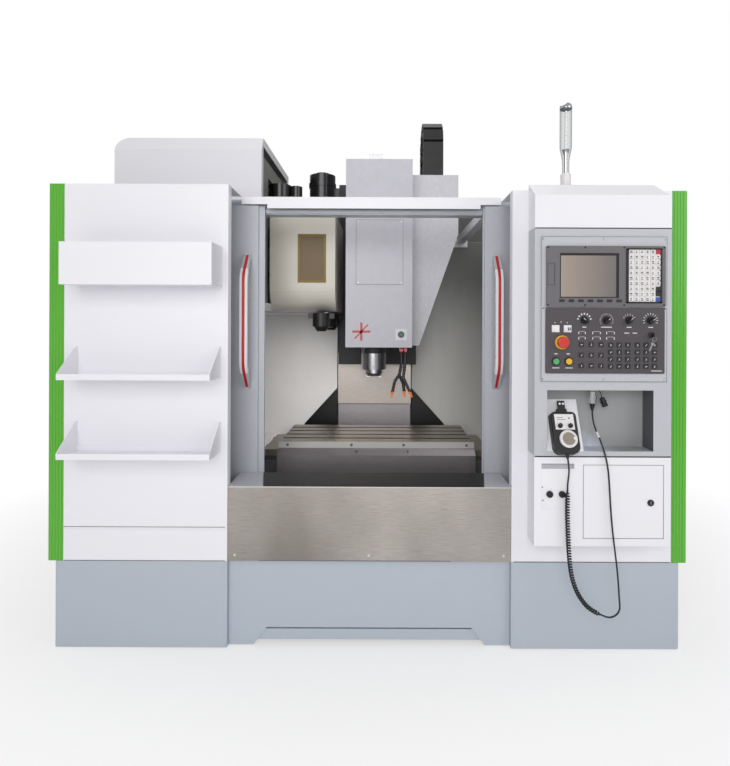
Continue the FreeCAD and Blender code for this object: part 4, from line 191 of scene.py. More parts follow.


# A switched-off screen, with a painted reflection of the room that pales from right to left.
def darkScreen(name, left, right, fromX, toX):
    material = newMaterial(name, left, 0.18)
    across = addNode(material, "ShaderNodeMapRange",
                     {"Value": axisOf(material, "X"), "From Min": fromX * mm, "From Max": toX * mm})
    tint(material, across.outputs["Result"], left, right)
    return material


# Paint that goes over to a second colour with its height, along a wavy line: painted shade that darkens the
# chamber's walls towards their tops, and the recess of the pendant, which is in shade under its top.
def paintedShadeByHeight(name, low, high, lowZ, highZ):
    streakMm, waveHeight = 220.0, 0.35
    material = newMaterial(name, low, 0.4)
    streaks = pattern(material, streakMm, (1, 1, 0.35), detail=4.0)
    wavy = addNode(material, "ShaderNodeMath", {0: streaks, 1: waveHeight, 2: axisOf(material, "Z")},
                   operation="MULTIPLY_ADD")
    height = addNode(material, "ShaderNodeMapRange",
                     {"Value": wavy.outputs["Value"], "From Min": lowZ * mm, "From Max": highZ * mm})
    tint(material, height.outputs["Result"], low, high)
    return material


paints = {
    # painted sheets: even and softly bright, the pendant's grained and the head's wing hammered
    "white": powderPaint("white powder paint", "#ECEBF0", 0.36),
    "base": powderPaint("grey-blue powder paint", "#B4BCC6", 0.38),
    "pendant": powderPaint("grey textured powder paint", "#C6C7CC", 0.42, peelMm=1.4, peel=0.22,
                           blotch="#B4B5BB", blotchMm=5.0),
    "leaf": powderPaint("grey door paint", "#C2C4CB", 0.38, blotch="#AFB2B9"),
    "head": powderPaint("pale grey paint", "#CDCCD5", 0.34, blotch="#BDBCC3", blotchMm=40.0),
    "wing": powderPaint("pale grey hammered paint", "#E0DFE5", 0.36, peelMm=5.0, peel=0.35, blotch="#BFBEC5"),
    "hood": powderPaint("white hood paint", "#DDDCE1", 0.38),
    # the recess and the walls of the chamber, darker towards the top with painted shade; the right wall, the
    # recess's right side and the side of the magazine's hood darker still, as painted shade
    "recess": paintedShadeByHeight("grey recess paint", "#D2D7E8", "#9A9C9D", 890, 974),
    # painted shade on the right side of the pendant's recess
    "shade": powderPaint("dark grey recess paint", "#54565B", 0.5),
    # painted shade on the side of the magazine's hood
    "inner": powderPaint("olive-grey primer", "#77766F", 0.5),
    "wall": paintedShadeByHeight("enamel of the chamber's left wall", "#EFECEA", "#A8A59F", 1000, 1750),
    "shadedRightWall": paintedShadeByHeight("enamel of the chamber's right wall", "#BAB8B5", "#50514C", 700, 1650),
    # satin handles, zinc-plated screws, and the enamels, from glossy green to matt black
    "satin": powderPaint("satin anodised aluminium", "#E9E9EC", 0.28),
    "zinc": brushedMetal("zinc-plated screw steel", "#C4C2BC", "#ECEAE4", 0.35, (1, 1, 1), metallic=0.35),
    "green": powderPaint("green enamel", "#5FB23A", 0.28),
    "ivory": powderPaint("ivory enamel", "#D3CEC2", 0.34),
    "black": powderPaint("black enamel", "#1B1B1D", 0.40),
    # castings and motors: dark, with a lumpy or a wet skin
    "iron": castPaint("painted cast iron", "#5A5D60", 0.55),
    "darkIron": castPaint("dark painted cast iron", "#2C2D30", 0.5),
    "motor": moulded("black motor enamel", "#101113", 0.24, coat=0.3),
    # bare metals: streaks of light along their lines
    "stainless": brushedMetal("brushed stainless steel", "#8B857E", "#EFE8E2", 0.32, (0.03, 1, 1),
                              cloudMm=420),
    "polished": brushedMetal("polished stainless steel", "#6E6A66", "#7C7874", 0.10, (0.03, 1, 1)),
    "ground": brushedMetal("ground steel", "#746B61", "#B4A99B", 0.36, (0.06, 1, 1), metallic=0.7),
    "wayCover": brushedMetal("way-cover steel", "#968E88", "#BCB4AD", 0.36, (0.05, 1, 1), metallic=0.55),
    "innerCover": brushedMetal("inner way-cover steel", "#7C7779", "#A5A0A2", 0.36, (0.05, 1, 1),
                               metallic=0.55),
    "bright": brushedMetal("bright turned steel", "#9A9A9C", "#D8D8DA", 0.22, (1, 1, 1)),
    "brass": brushedMetal("dull yellow brass", "#46391A", "#6E5D2C", 0.34, (1, 1, 0.05), metallic=0.6),
    "chrome": brushedMetal("polished chrome", "#D2D2D4", "#E8E8EA", 0.14, (1, 1, 0.02)),
    # plastics, print and rubber: matt, and the pushed and held parts glossier
    "plasticBlack": moulded("black moulded plastic", "#17171A", 0.45),
    "panel": moulded("dark grey panel plastic", "#4D484C", 0.42),
    "bezel": moulded("grey bezel plastic", "#6A676B", 0.40),
    "key": moulded("pale key plastic", "#E6E3E3", 0.40),
    "keyDark": moulded("dark key plastic", "#29272A", 0.42),
    "legend": moulded("white screen print", "#DCDADB", 0.50),
    "inkGrey": moulded("grey screen print", "#6F6B70", 0.50),
    "blue": moulded("blue key plastic", "#2F55A6", 0.38),
    "red": moulded("red moulded plastic", "#CB3A36", 0.30, coat=0.3),
    "inlay": moulded("red handle inlay", "#BF2027", 0.35, coat=0.3),
    "greenCap": moulded("green moulded plastic", "#57A96A", 0.32, coat=0.3),
    "tealCap": moulded("dark green moulded plastic", "#24614A", 0.35, coat=0.2),
    "yellow": moulded("yellow moulded plastic", "#E9B02B", 0.32, coat=0.3),
    "rubber": moulded("black cord rubber", "#1D2023", 0.5),
    "hose": moulded("navy hose plastic", "#05070F", 0.55),
    "orange": moulded("orange nozzle plastic", "#E0702A", 0.36, coat=0.2),
    # panes
    "screen": darkScreen("switched-off screen", "#A3968B", "#777270", 684, 872),
    "window": clearSheet("clear door plastic", "#DDE8E6", 0.28),
    "bronzePane": moulded("bronze-tinted plastic", "#6A5229", 0.4),
    "lampTube": clearSheet("clear lamp plastic", "#6E7276", 0.12, edge=0.9),
}

# The paint of each CAD node.
nodePaint = {
    "bed_casting": "iron", "levelling_feet": "bright", "column_casting": "iron", "fixed_guideways": "bright",
    "base_covers": "base", "coolant_tank": "base", "front_panels": "white", "side_panels": "white",
    "corner_trims": "green", "door_tracks": "white", "front_apron": "stainless", "splash_walls": "wall",
    "column_guards": "black", "fixed_way_covers": "wayCover", "magazine_cover": "ivory",
    "tool_change_gearbox": "iron", "magazine_hood": "hood", "tool_shelves": "white",
    "electrical_cabinet": "base", "pendant_body": "pendant", "pendant_covers": "white",
    "display_unit": "bezel", "operation_panel": "pendant", "panel_keys": "keyDark",
    "handwheel_body": "plasticBlack", "handwheel_plug": "chrome", "signal_lamp": "lampTube",
    "left_door": "leaf", "left_window": "window", "right_door": "leaf", "right_window": "window",
    "saddle": "iron", "middle_way_cover": "wayCover", "table": "ground", "table_front_guard": "innerCover",
    "head_casting": "darkIron", "head_cover": "head", "head_side_cover": "wing", "coolant_hoses": "hose",
    "drag_chain": "plasticBlack", "head_way_cover": "wayCover", "spindle": "bright",
    "unclamp_button": "tealCap", "column_way_cover": "innerCover", "magazine_disc": "ground",
    "change_shaft": "bright", "change_arm": "black", "pendant_door": "white", "cabinet_door": "base",
    "emergency_stop": "red", "cycle_start": "greenCap", "feed_hold": "yellow", "mode_knob": "plasticBlack",
    "feed_knob": "plasticBlack", "spindle_knob": "plasticBlack", "rapid_knob": "plasticBlack",
    "handwheel_dial": "key", "handwheel_cord": "rubber", "handwheel_cord_coil": "rubber",
    "handwheel_cord_tail": "rubber",
}
for name, paint in nodePaint.items():
    nodes[name].data.materials.clear()
    nodes[name].data.materials.append(paints[paint])

# The handwheel unit leans against the sloping board of the recess.
unitFoot = (701, -90.5, 741)
unitSlope = math.atan2(78, 175)
unitLean = Matrix.Translation(place(*unitFoot)) @ Matrix.Rotation(-unitSlope, 4, "X")


# Give the faces of a CAD node that lie inside a box another material. The box is in millimetres: X, the
# distance behind the front sheets and the height, or the axes of a leaning unit.
def colourRegion(node, xSpan, behindSpan, zSpan, paint, lean=None):
    mesh = nodes[node].data
    mesh.materials.append(paints[paint])
    index = len(mesh.materials) - 1
    back = lean.inverted() if lean else fromSheets
    inside = []
    for vertex in mesh.vertices:
        spot = back @ vertex.co / mm
        inside.append(xSpan[0] <= spot.x <= xSpan[1] and behindSpan[0] <= spot.y <= behindSpan[1]
                      and zSpan[0] <= spot.z <= zSpan[1])
    painted = [face for face in mesh.polygons if all(inside[corner] for corner in face.vertices)]
    for face in painted:
        face.material_index = index
    print("painted", node, paint, len(painted))


# Node, the three spans, paint, and the axes of a unit that leans. Where boxes of one node overlap, the later
# one holds.
finishBoxes = [
    # console: face plate, yellow ground of the emergency stop, two rockers and the lock
    ("operation_panel", (620, 1052), (-200, -88.5), (1028, 1264), "panel"),
    ("operation_panel", (640, 730), (-100, -92.7), (1112, 1167), "yellow"),
    ("operation_panel", (645, 722), (-100, -92.7), (1170, 1205), "key"),
    ("operation_panel", (985, 1015), (-116, -92.7), (1150, 1180), "keyDark"),
    # keypad: pale keys, then the red one, the blue one and the dark ones of its right column
    ("panel_keys", (912, 1034), (-101, -94), (1280, 1470), "key"),
    ("panel_keys", (1010, 1034), (-101, -95.5), (1449.5, 1470), "inlay"),
    ("panel_keys", (1010, 1034), (-101, -95.5), (1281, 1300), "blue"),
    ("panel_keys", (1010, 1034), (-101, -95.5), (1301, 1336), "keyDark"),
    # handwheel unit: face plate and the studs of its hook, in its own axes, and the foot of its plug
    ("handwheel_body", (-34.5, 34.5), (-35.2, -32.8), (83, 140), "key", unitLean),
    ("handwheel_body", (-11, 11), (-28.2, -24), (174, 185), "key", unitLean),
    ("handwheel_plug", (780, 850), (-90, 0), (890, 920.5), "plasticBlack"),
    # window of the magazine's cover: frame and pane
    ("magazine_cover", (-338, -206), (475, 479.9), (1389, 1614), "brass"),
    ("magazine_cover", (-332, -212), (483.2, 486.1), (1395, 1608), "bronzePane"),
    # bowed door handles and the top of the apron's folded lip
    ("left_door", (-509, -477), (100, 189.9), (930, 1490), "satin"),
    ("right_door", (498, 530), (100, 189.9), (930, 1490), "satin"),
    ("front_apron", (-530, 560), (3, 186), (597.9, 598.1), "polished"),
    # pendant: the recess with painted shade under its top, its sloping board, its right side in painted
    # shade, the tray behind the slot, the round switches and the lock of its lower door
    ("pendant_body", (636, 1014), (-84.5, -5), (753, 971), "recess"),
    ("pendant_body", (636, 768), (-84.5, -5), (753, 928), "white"),
    ("pendant_body", (1012.5, 1014), (-84.5, -5), (753, 971), "shade"),
    ("pendant_covers", (617, 735), (-83, -60), (691, 711), "pendant"),
    ("pendant_covers", (634, 702), (-93, -82.9), (591, 615), "plasticBlack"),
    ("pendant_door", (992, 1016), (-88, -72), (561, 585), "plasticBlack"),
    # chamber: right splash wall in painted shade, the side of the magazine's hood in painted shade, the upper
    # strip of the table's guard, and the tube over the doors in the doors' grey as painted shade
    ("splash_walls", (60, 890), (0, 1250), (150, 2000), "shadedRightWall"),
    ("magazine_hood", (-482.5, -478), (300, 960), (1255, 2010), "inner"),
    ("table_front_guard", (-500, 520), (495, 520), (621, 652), "zinc"),
    # the tube under the header, in the doors' grey as painted shade
    ("door_tracks", (-1190, 1190), (186, 330), (1580, 1720), "leaf"),
    # head: quill, button plate, hose nozzles and valve knobs; and the tool changer's two motors
    ("head_casting", (-53, 75), (650, 778), (972, 1101), "bright"),
    ("head_cover", (114, 170), (500, 530.1), (1123, 1179), "hood"),
    ("coolant_hoses", (60, 240), (500, 800), (800, 869), "orange"),
    ("coolant_hoses", (100, 240), (600, 700), (1060, 1083), "inlay"),
    ("tool_change_gearbox", (-520, -170), (500, 1000), (1560, 1990), "motor"),
]
for box in finishBoxes:
    colourRegion(*box)

# The table's T-slots, dark inside with painted shade.
tSlots = {"count": 4, "middle": 714, "pitch": 85, "halfWidth": 9.2,
          "xSpan": (-440, 500), "zSpan": (620, 651.2)}
for row in range(tSlots["count"]):
    middle = tSlots["middle"] + (row - (tSlots["count"] - 1) / 2) * tSlots["pitch"]
    span = (middle - tSlots["halfWidth"], middle + tSlots["halfWidth"])
    colourRegion("table", tSlots["xSpan"], span, tSlots["zSpan"], "keyDark")
print("CAD materials set")


# A block between pairs of millimetres: X, the distance behind the front sheets and the height.
def addBlock(form, xSpan, behindSpan, zSpan, turn=0.0):
    low, high = place(xSpan[0], behindSpan[0], zSpan[0]), place(xSpan[1], behindSpan[1], zSpan[1])
    size = Matrix.Diagonal((*(high - low), 1))
    spot = Matrix.Translation((low + high) / 2)
    bmesh.ops.create_cube(form, size=1, matrix=spot @ Matrix.Rotation(turn, 4, "Y") @ size)


# A rod, cone or dome between two points.
def addRod(form, start, end, radiusMm, endRadiusMm=None, sides=40):
    run = end - start
    turn = run.to_track_quat("Z", "Y").to_matrix().to_4x4()
    endRadius = radiusMm if endRadiusMm is None else endRadiusMm
    bmesh.ops.create_cone(form, cap_ends=True, segments=sides, radius1=radiusMm * mm, radius2=endRadius * mm,
                          depth=run.length, matrix=Matrix.Translation((start + end) / 2) @ turn)


# A flat ring that faces the front, with a hole through it.
def addRing(form, x, z, outerMm, innerMm, behindSpan, sides=64):
    loops = []
    for behind in behindSpan:
        for radius in (outerMm, innerMm):
            loops.append([form.verts.new(place(x + radius * math.cos(2 * math.pi * i / sides), behind,
                                               z + radius * math.sin(2 * math.pi * i / sides)))
                          for i in range(sides)])
    for first, second in ((0, 1), (1, 3), (3, 2), (2, 0)):
        for i in range(sides):
            j = (i + 1) % sides
            form.faces.new((loops[first][i], loops[first][j], loops[second][j], loops[second][i]))
    bmesh.ops.recalc_face_normals(form, faces=form.faces)


# A printed stroke that points away from a knob's axis. The angle runs clockwise from straight up.
def addStroke(form, x, z, degrees, fromMm, toMm, widthMm, behindSpan):
    angle = math.radians(degrees)
    middle = (fromMm + toMm) / 2
    spotX, spotZ = x + middle * math.sin(angle), z + middle * math.cos(angle)
    addBlock(form, (spotX - widthMm / 2, spotX + widthMm / 2), behindSpan,
             (spotZ - (toMm - fromMm) / 2, spotZ + (toMm - fromMm) / 2), turn=angle)


# Skin a row of rings that have as many points each, and close both ends.
def skinRings(form, rings):
    count = len(rings[0])
    for first, second in zip(rings, rings[1:]):
        for i in range(count):
            j = (i + 1) % count
            form.faces.new((first[i], first[j], second[j], second[i]))
    form.faces.new(rings[0])
    form.faces.new(rings[-1])
    bmesh.ops.recalc_face_normals(form, faces=form.faces)


# A turned form about an upright axis, from pairs of radius and height.
def addTurned(form, x, behind, profile, sides=48):
    skinRings(form, [[form.verts.new(place(x + radius * math.cos(2 * math.pi * i / sides),
                                           behind + radius * math.sin(2 * math.pi * i / sides), z))
                      for i in range(sides)] for radius, z in profile])


# Turn a form into a piece: its sharp edges rounded if asked, its curved faces smooth.
def finishPiece(form, name, paint, body="frame", bevelMm=0.0, lean=None):
    bevelAngle, sharpAngle = math.radians(50), math.radians(32)
    if bevelMm:
        edges = [edge for edge in form.edges if edge.calc_face_angle(0) > bevelAngle]
        bmesh.ops.bevel(form, geom=edges, offset=bevelMm * mm, segments=2, affect="EDGES", profile=0.5)
    if lean:
        form.transform(lean @ fromSheets)
    mesh = bpy.data.meshes.new(name)
    form.to_mesh(mesh)
    form.free()
    for face in mesh.polygons:
        face.use_smooth = True
    mesh.set_sharp_from_angle(angle=sharpAngle)
    return addPiece(name, mesh, paint, body)


# Put a mesh or curve into the scene as a piece that rides on one of the part's bodies.
def addPiece(name, data, paint, body="frame"):
    data.materials.append(paints[paint])
    piece = bpy.data.objects.new(name.replace(" ", "_"), data)
    bpy.context.scene.collection.objects.link(piece)
    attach(piece, body)
    return piece


# A flat outline of X and distance behind, or of X and height, drawn out between two millimetres.
def addPrism(form, outline, span, upright=True):
    skinRings(form, [[form.verts.new(place(a, b, end) if upright else place(a, end, b))
                      for a, b in outline] for end in span])


# Points of an arc between two angles in degrees.
def arc(centre, radius, first, last, steps=8):
    angles = [math.radians(first + (last - first) * i / steps) for i in range(steps + 1)]
    return [(centre[0] + radius * math.cos(a), centre[1] + radius * math.sin(a)) for a in angles]


# The fluted corner trims, with the tight corners that the real sheets have.
trimSizes = {"inner": 1123, "outer": 1183, "radius": 12, "flange": 58, "bottom": 322.6}
trimTops = {"left trim": (1, 1716), "right trim": (-1, 1698)}
groove = [(0, 0), (1.2, 1.8), (4.4, 1.8), (5.6, 0)]  # along the sheet, and into it
frontGrooves = [1126 + 11.5 * step for step in range(4)]
sideGrooves = [15 + 12.5 * step for step in range(3)]
fluted = [(-trimSizes["inner"], trimSizes["flange"]), (-trimSizes["inner"], 0)]
for x in frontGrooves:
    fluted += [(-x - along, depth) for along, depth in groove]
fluted += arc((trimSizes["radius"] - trimSizes["outer"], trimSizes["radius"]), trimSizes["radius"], 270, 180)
for behind in sideGrooves:
    fluted += [(depth - trimSizes["outer"], behind + along) for along, depth in groove]
fluted += [(-trimSizes["outer"], trimSizes["flange"])]
for name, (side, top) in trimTops.items():
    form = bmesh.new()
    addPrism(form, [(side * x, behind) for x, behind in fluted], (trimSizes["bottom"], top))
    trim = finishPiece(form, name, "green")
    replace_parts(trim, "corner_trims")

# The base covers: folded sheets round the two corners, and the middle one that goes back in at the notch.
base = {"outer": 1156, "radius": 14, "back": 1780, "sheet": 3, "flange": 58, "bottom": 4, "top": 322}
sheet = base["sheet"]
corner = (base["outer"] - base["radius"], base["radius"])
for name, (side, inner) in {"left base cover": (-1, -517), "right base cover": (1, 533)}.items():
    outside = [(inner, base["flange"]), (inner, 0)]
    outside += [(side * x, behind) for x, behind in arc(corner, base["radius"], 270, 360)]
    outside += [(side * base["outer"], base["back"])]
    inside = [(side * (base["outer"] - sheet), base["back"])]
    inside += [(side * x, behind) for x, behind in arc(corner, base["radius"] - sheet, 360, 270)]
    inside += [(inner + side * sheet, sheet), (inner + side * sheet, base["flange"])]
    form = bmesh.new()
    addPrism(form, outside + inside, (base["bottom"], base["top"]))
    cover = finishPiece(form, name, "base")
    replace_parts(cover, "base_covers")
centre = {"left": -516.4, "right": 532.4, "front": 20}
notch = {"footLeft": -423, "topLeft": -374, "topRight": 390, "footRight": 439, "top": 68}
frontSpan = (centre["front"], centre["front"] + sheet)
notched = [(centre["left"], base["top"]), (centre["left"], base["bottom"]),
           (notch["footLeft"], base["bottom"]), (notch["topLeft"], notch["top"]),
           (notch["topRight"], notch["top"]), (notch["footRight"], base["bottom"]),
           (centre["right"], base["bottom"]), (centre["right"], base["top"])]
form = bmesh.new()
addPrism(form, notched, frontSpan, upright=False)
addBlock(form, (centre["left"], centre["right"]), (frontSpan[1], base["flange"]),
         (base["top"] - sheet, base["top"]))
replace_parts(finishPiece(form, "centre base cover", "base"), "base_covers")
print("trims and base covers made")


# Four thin blocks that draw the outline of a rectangle on a face.
def frameLines(xSpan, zSpan, widthMm, face):
    lineProud, gap = 0.35, 0.02  # the gap keeps the line off the face
    behindSpan = (face - lineProud, face - gap)
    (left, right), (low, high) = xSpan, zSpan
    return [((left, left + widthMm), behindSpan, zSpan), ((right - widthMm, right), behindSpan, zSpan),
            (xSpan, behindSpan, (low, low + widthMm)), (xSpan, behindSpan, (high - widthMm, high))]


# Small blocks and plates: paint, body, rounding, and the blocks by X, distance behind and height.
blockPieces = {
    # a black plate that fills the display's pocket round the screen: painted shadow of the pocket
    "screen mask": ("plasticBlack", "frame", 0.0, [((676.4, 883.6), (-95.0, -94.65), (1296.4, 1453.6))]),
    "screen glass": ("screen", "frame", 0.0, [((680, 874), (-95.4, -95.0), (1300, 1445))]),
    "card cover catch": ("keyDark", "frame", 0.2, [((636, 655), (-96.4, -95.6), (1376, 1379))]),
    "rocker stripes": ("keyDark", "frame", 0.0, [
        ((705, 708), (-98.9, -98.0), (1181, 1192)),
        ((711, 714), (-98.9, -98.0), (1181, 1192))]),
    "switch plate": ("white", "frame", 0.3, [((617, 732), (-85.2, -84.02), (548, 688))]),
    # a bright strip along the top of the apron's front: a painted highlight
    "apron edge": ("zinc", "frame", 0.0, [((-515.5, 531.5), (3.3, 3.98), (594.8, 597.8))]),
    "notch panel": ("base", "frame", 0.0, [((-412, 422), (26, 28), (20, 60))]),
    # dark lines where the apron and the side panels meet the base are painted shadow; the higher one on the
    # left panel is a seam
    "base seams": ("inkGrey", "frame", 0.0, [
        ((-400, 310), (3.3, 3.98), (322.6, 325.2)),
        ((540, 1120), (-0.6, -0.02), (322.8, 325.6)),
        ((-1120, -525), (-0.6, -0.02), (322.8, 325.0)),
        ((-1121, -525), (-0.6, -0.02), (447, 449.2))]),
    # a plate on the rear wall in the right wall's enamel with its painted shade
    "rear splash plate": ("shadedRightWall", "frame", 0.0, [((227, 880), (1137, 1140), (1680.6, 1905))]),
    "way cover edge": ("inkGrey", "head", 0.0, [((-203, 221), (1127.2, 1127.98), (731, 735))]),
    "access plate edge": ("inkGrey", "head", 0.0, [
        ((-71.4, -70.2), (527.7, 528.1), (1386, 1691)),
        ((148.8, 150.0), (527.7, 528.1), (1386, 1691)),
        ((-70.2, 148.8), (527.7, 528.1), (1386, 1387.2)),
        ((-70.2, 148.8), (527.7, 528.1), (1689.8, 1691))]),
    "door keyway": ("bright", "pendant_door", 0.0, [((1003, 1005), (-87.2, -86.9), (567, 579))]),
    "pendant seams": ("plasticBlack", "frame", 0.0, [
        ((593, 1075), (-84.6, -84.02), (1541.5, 1545)),
        ((593, 1075), (-84.6, -84.02), (733, 736.8))]),
    "cabinet door seam": ("inkGrey", "frame", 0.0, frameLines((765.4, 1050.6), (445.4, 706.6), 1.6, -84.0)),
    "slot shadow line": ("inkGrey", "frame", 0.0, [((618, 734), (-84.3, -84.02), (708.4, 710))]),
    "panel plate seam": ("inkGrey", "frame", 0.0, frameLines((614, 1057), (1001, 1513), 1.4, -88.3)),
    "card cover seam": ("keyDark", "frame", 0.0, frameLines((633, 658), (1341, 1418), 1.2, -96.6)),
    "keypad frame": ("plasticBlack", "frame", 0.0, [
        ((909, 916), (-99.9, -96.62), (1279, 1469)),
        ((1027.5, 1034), (-99.9, -96.62), (1279, 1469)),
        ((909, 1034), (-99.9, -96.62), (1465.6, 1470)),
        ((909, 1034), (-99.9, -96.62), (1278, 1283))]),
}
for name, (paint, body, bevelMm, blocks) in blockPieces.items():
    form = bmesh.new()
    for spans in blocks:
        addBlock(form, *spans)
    finishPiece(form, name, paint, body, bevelMm)

# The sill's lip: a black sheet over the chamber's width, as painted shade between the doors, and the doors'
# paint left and right of it.
lipOutlines = {
    "lip mat": ("plasticBlack", [[(-386, 8), (433, 8), (466, 183), (-425, 183)]]),
    "lip ends": ("leaf", [[(-516, 6), (-387, 6), (-426, 184), (-516, 184)],
                          [(434, 6), (532, 6), (532, 184), (467, 184)]]),
}
lipTop = (598.05, 599.2)
for name, (paint, outlines) in lipOutlines.items():
    form = bmesh.new()
    for outline in outlines:
        addPrism(form, outline, lipTop)
    finishPiece(form, name, paint)

# Screw and lens heads: paint, body, radius, height of the head, sides, and for each one the X, the face it
# stands on and the height of its axis.
headPieces = {
    "display screws": ("plasticBlack", "frame", 3.4, 0.9, 20, [
        (x, -96.6, z) for x in (634.5, 765, 902, 1042.5) for z in (1271.5, 1473.5)]),
    "panel plate screws": ("inkGrey", "frame", 4.6, 1.6, 20, [
        (x, -88.3, z) for x in (621, 835.5, 1050) for z in (1009, 1505)]
        + [(x, -88.3, 1261.5) for x in (620.5, 1053.2)]),
    "switch plate screws": ("bright", "frame", 3.6, 1.4, 20, [(621, -85.2, 627), (623, -85.2, 580)]),
    "indicator lenses": ("legend", "frame", 2.0, 0.7, 16, [
        (661, -92.6, 1208.5), (682, -92.6, 1211.5), (704, -92.6, 1208.5)]),
    "access plate screws": ("zinc", "head", 4.5, 2.0, 20, [
        (x, 528, z) for x in (-62, 141) for z in (1395, 1682)]),
    "button plate screws": ("zinc", "head", 2.6, 1.2, 16, [
        (x, 528, z) for x in (119, 165) for z in (1128, 1174)]),
    "guard screws": ("inkGrey", "table", 6.5, 3.0, 24, [
        (x, 507.7, 636) for x in (-386, -88, 155, 448)]
        + [(x, 469.7, 521) for x in (-409, 468)]),
    "apron screws": ("zinc", "frame", 5.0, 2.2, 24, [(x, 4.0, 344.3) for x in (-490, 6, 505)]),
}
sunk, headTaper = 0.05, 0.8
for name, (paint, body, radius, height, sides, spots) in headPieces.items():
    form = bmesh.new()
    for x, face, z in spots:
        addRod(form, place(x, face + sunk, z), place(x, face - height, z), radius, radius * headTaper, sides)
    finishPiece(form, name, paint, body)

# Rings round three push buttons: paint, body, axis, outer and inner radius, and distance behind.
ringPieces = {
    "start button ring": ("plasticBlack", "frame", (664.5, 1072.5), 15.0, 12.4, (-95.4, -92.62)),
    "unclamp button ring": ("inkGrey", "head", (142, 1151), 15.5, 11.8, (527.0, 528.1)),
    "hold button ring": ("plasticBlack", "frame", (709.5, 1072.5), 15.0, 12.4, (-95.4, -92.62)),
}
for name, (paint, body, (x, z), outer, inner, behindSpan) in ringPieces.items():
    form = bmesh.new()
    addRing(form, x, z, outer, inner, behindSpan)
    finishPiece(form, name, paint, body)
print("plates, screw heads and rings made")

# The console's four knobs: the X of the axis, the pointer's turn in degrees, and the printed strokes round it
# by angle, two ends and width.
knobHeight = 1217.5
knobs = {
    "mode_knob": (764, -50, [(angle, 20, 26, 4.6) for angle in range(-78, 79, 26)]),
    "feed_knob": (842, 45, [(angle, 20.5, 24.5, 1.0) for angle in range(-120, 121, 12)]),
    "spindle_knob": (921, 35, [(angle, 18, 24, 1.6) for angle in range(-60, 61, 24)]),
    "rapid_knob": (997, 55, [(angle, 20, 27, 2.0) for angle in range(-110, 111, 22)]),
}

# The console's print: the knobs' strokes, and the thin brackets and dashes under them.
printed = (-92.76, -92.6)
form = bmesh.new()
for x, turn, strokes in knobs.values():
    for degrees, inner, outer, width in strokes:
        addStroke(form, x, knobHeight, degrees, inner, outer, width, printed)
# From and to in X, height and thickness.
dashes = [(757, 771, 1193.5, 3.0), (823, 861, 1193.5, 3.0), (913, 930, 1193.5, 3.0),
          (989, 1006, 1193.5, 3.0), (905, 922, 1173, 3.0), (934, 950, 1173, 3.0),
          (652, 677, 1049.5, 2.6), (698, 724, 1049.5, 2.6), (659, 670, 1099, 3.4),
          (702, 714, 1099, 3.4), (1000, 1038, 1040, 2.4)]
for left, right, z, height in dashes:
    addBlock(form, (left, right), printed, (z - height / 2, z + height / 2))
# Each bracket is a thin bar with a leg that hangs from either end.
bracketSpans = ((743, 769), (792, 822), (841, 871))
bracketHeights = (1178, 1159)
for left, right in bracketSpans:
    for z in bracketHeights:
        addBlock(form, (left + 4, right - 4), printed, (z - 0.5, z + 0.5))
        for x in (left + 1.5, right - 1.5):
            addBlock(form, (x - 1.5, x + 1.5), printed, (z - 9, z - 1))
finishPiece(form, "console print", "legend")

# The console keys' marks: a tilted stroke and a small block on each.
keyMark = (-96.05, -95.9)
keyTilts = (0, 40, 90, -40)
form = bmesh.new()
# The X of each column and the height of each row, for three fields of keys.
keyFields = (((754, 788.5, 823), (1058, 1095, 1132)), ((857, 887, 917), (1056, 1081, 1106, 1131)),
             ((951, 981, 1011), (1056, 1081, 1106, 1131)))
for columns, rows in keyFields:
    for column, x in enumerate(columns):
        for row, z in enumerate(rows):
            tilt = keyTilts[(column * 2 + row) % len(keyTilts)]
            addStroke(form, x, z, tilt, -3.6, 3.6, 1.6, keyMark)
            addBlock(form, (x - 3.4, x - 1.2), keyMark, (z - 4.2, z - 2.8))
finishPiece(form, "console key marks", "legend")

# The keypad's marks: two bars on each pale key. The red, blue and dark keys of the last column have none.
keypad = {"left": 916, "bottom": 1282, "columns": 6, "rows": 10, "pitchX": 19, "pitchZ": 18.6}
bareKeys = [(5, 0), (5, 1), (5, 2), (5, 9)]
keypadMark = (-99.72, -99.6)
markWidths = (3.0, 4.4, 2.4, 3.8, 5.0)
form = bmesh.new()
for column in range(keypad["columns"]):
    for row in range(keypad["rows"]):
        if (column, row) in bareKeys:
            continue
        x = keypad["left"] + (column + 0.5) * keypad["pitchX"]
        z = keypad["bottom"] + (row + 0.5) * keypad["pitchZ"]
        width = markWidths[(column * 3 + row) % len(markWidths)]
        addBlock(form, (x - width, x + width - 1), keypadMark, (z + 0.2, z + 3.8))
        addBlock(form, (x - 4.6, x + width), keypadMark, (z - 4.6, z - 2.2))
finishPiece(form, "keypad marks", "keyDark")

# White pointers on the four knobs.
pointerFace = (-111.1, -110.85)
for body, (x, turn, strokes) in knobs.items():
    form = bmesh.new()
    addStroke(form, x, knobHeight, turn, 1.5, 11.0, 1.8, pointerFace)
    finishPiece(form, body.replace("_", " ") + " pointer", "legend", body)

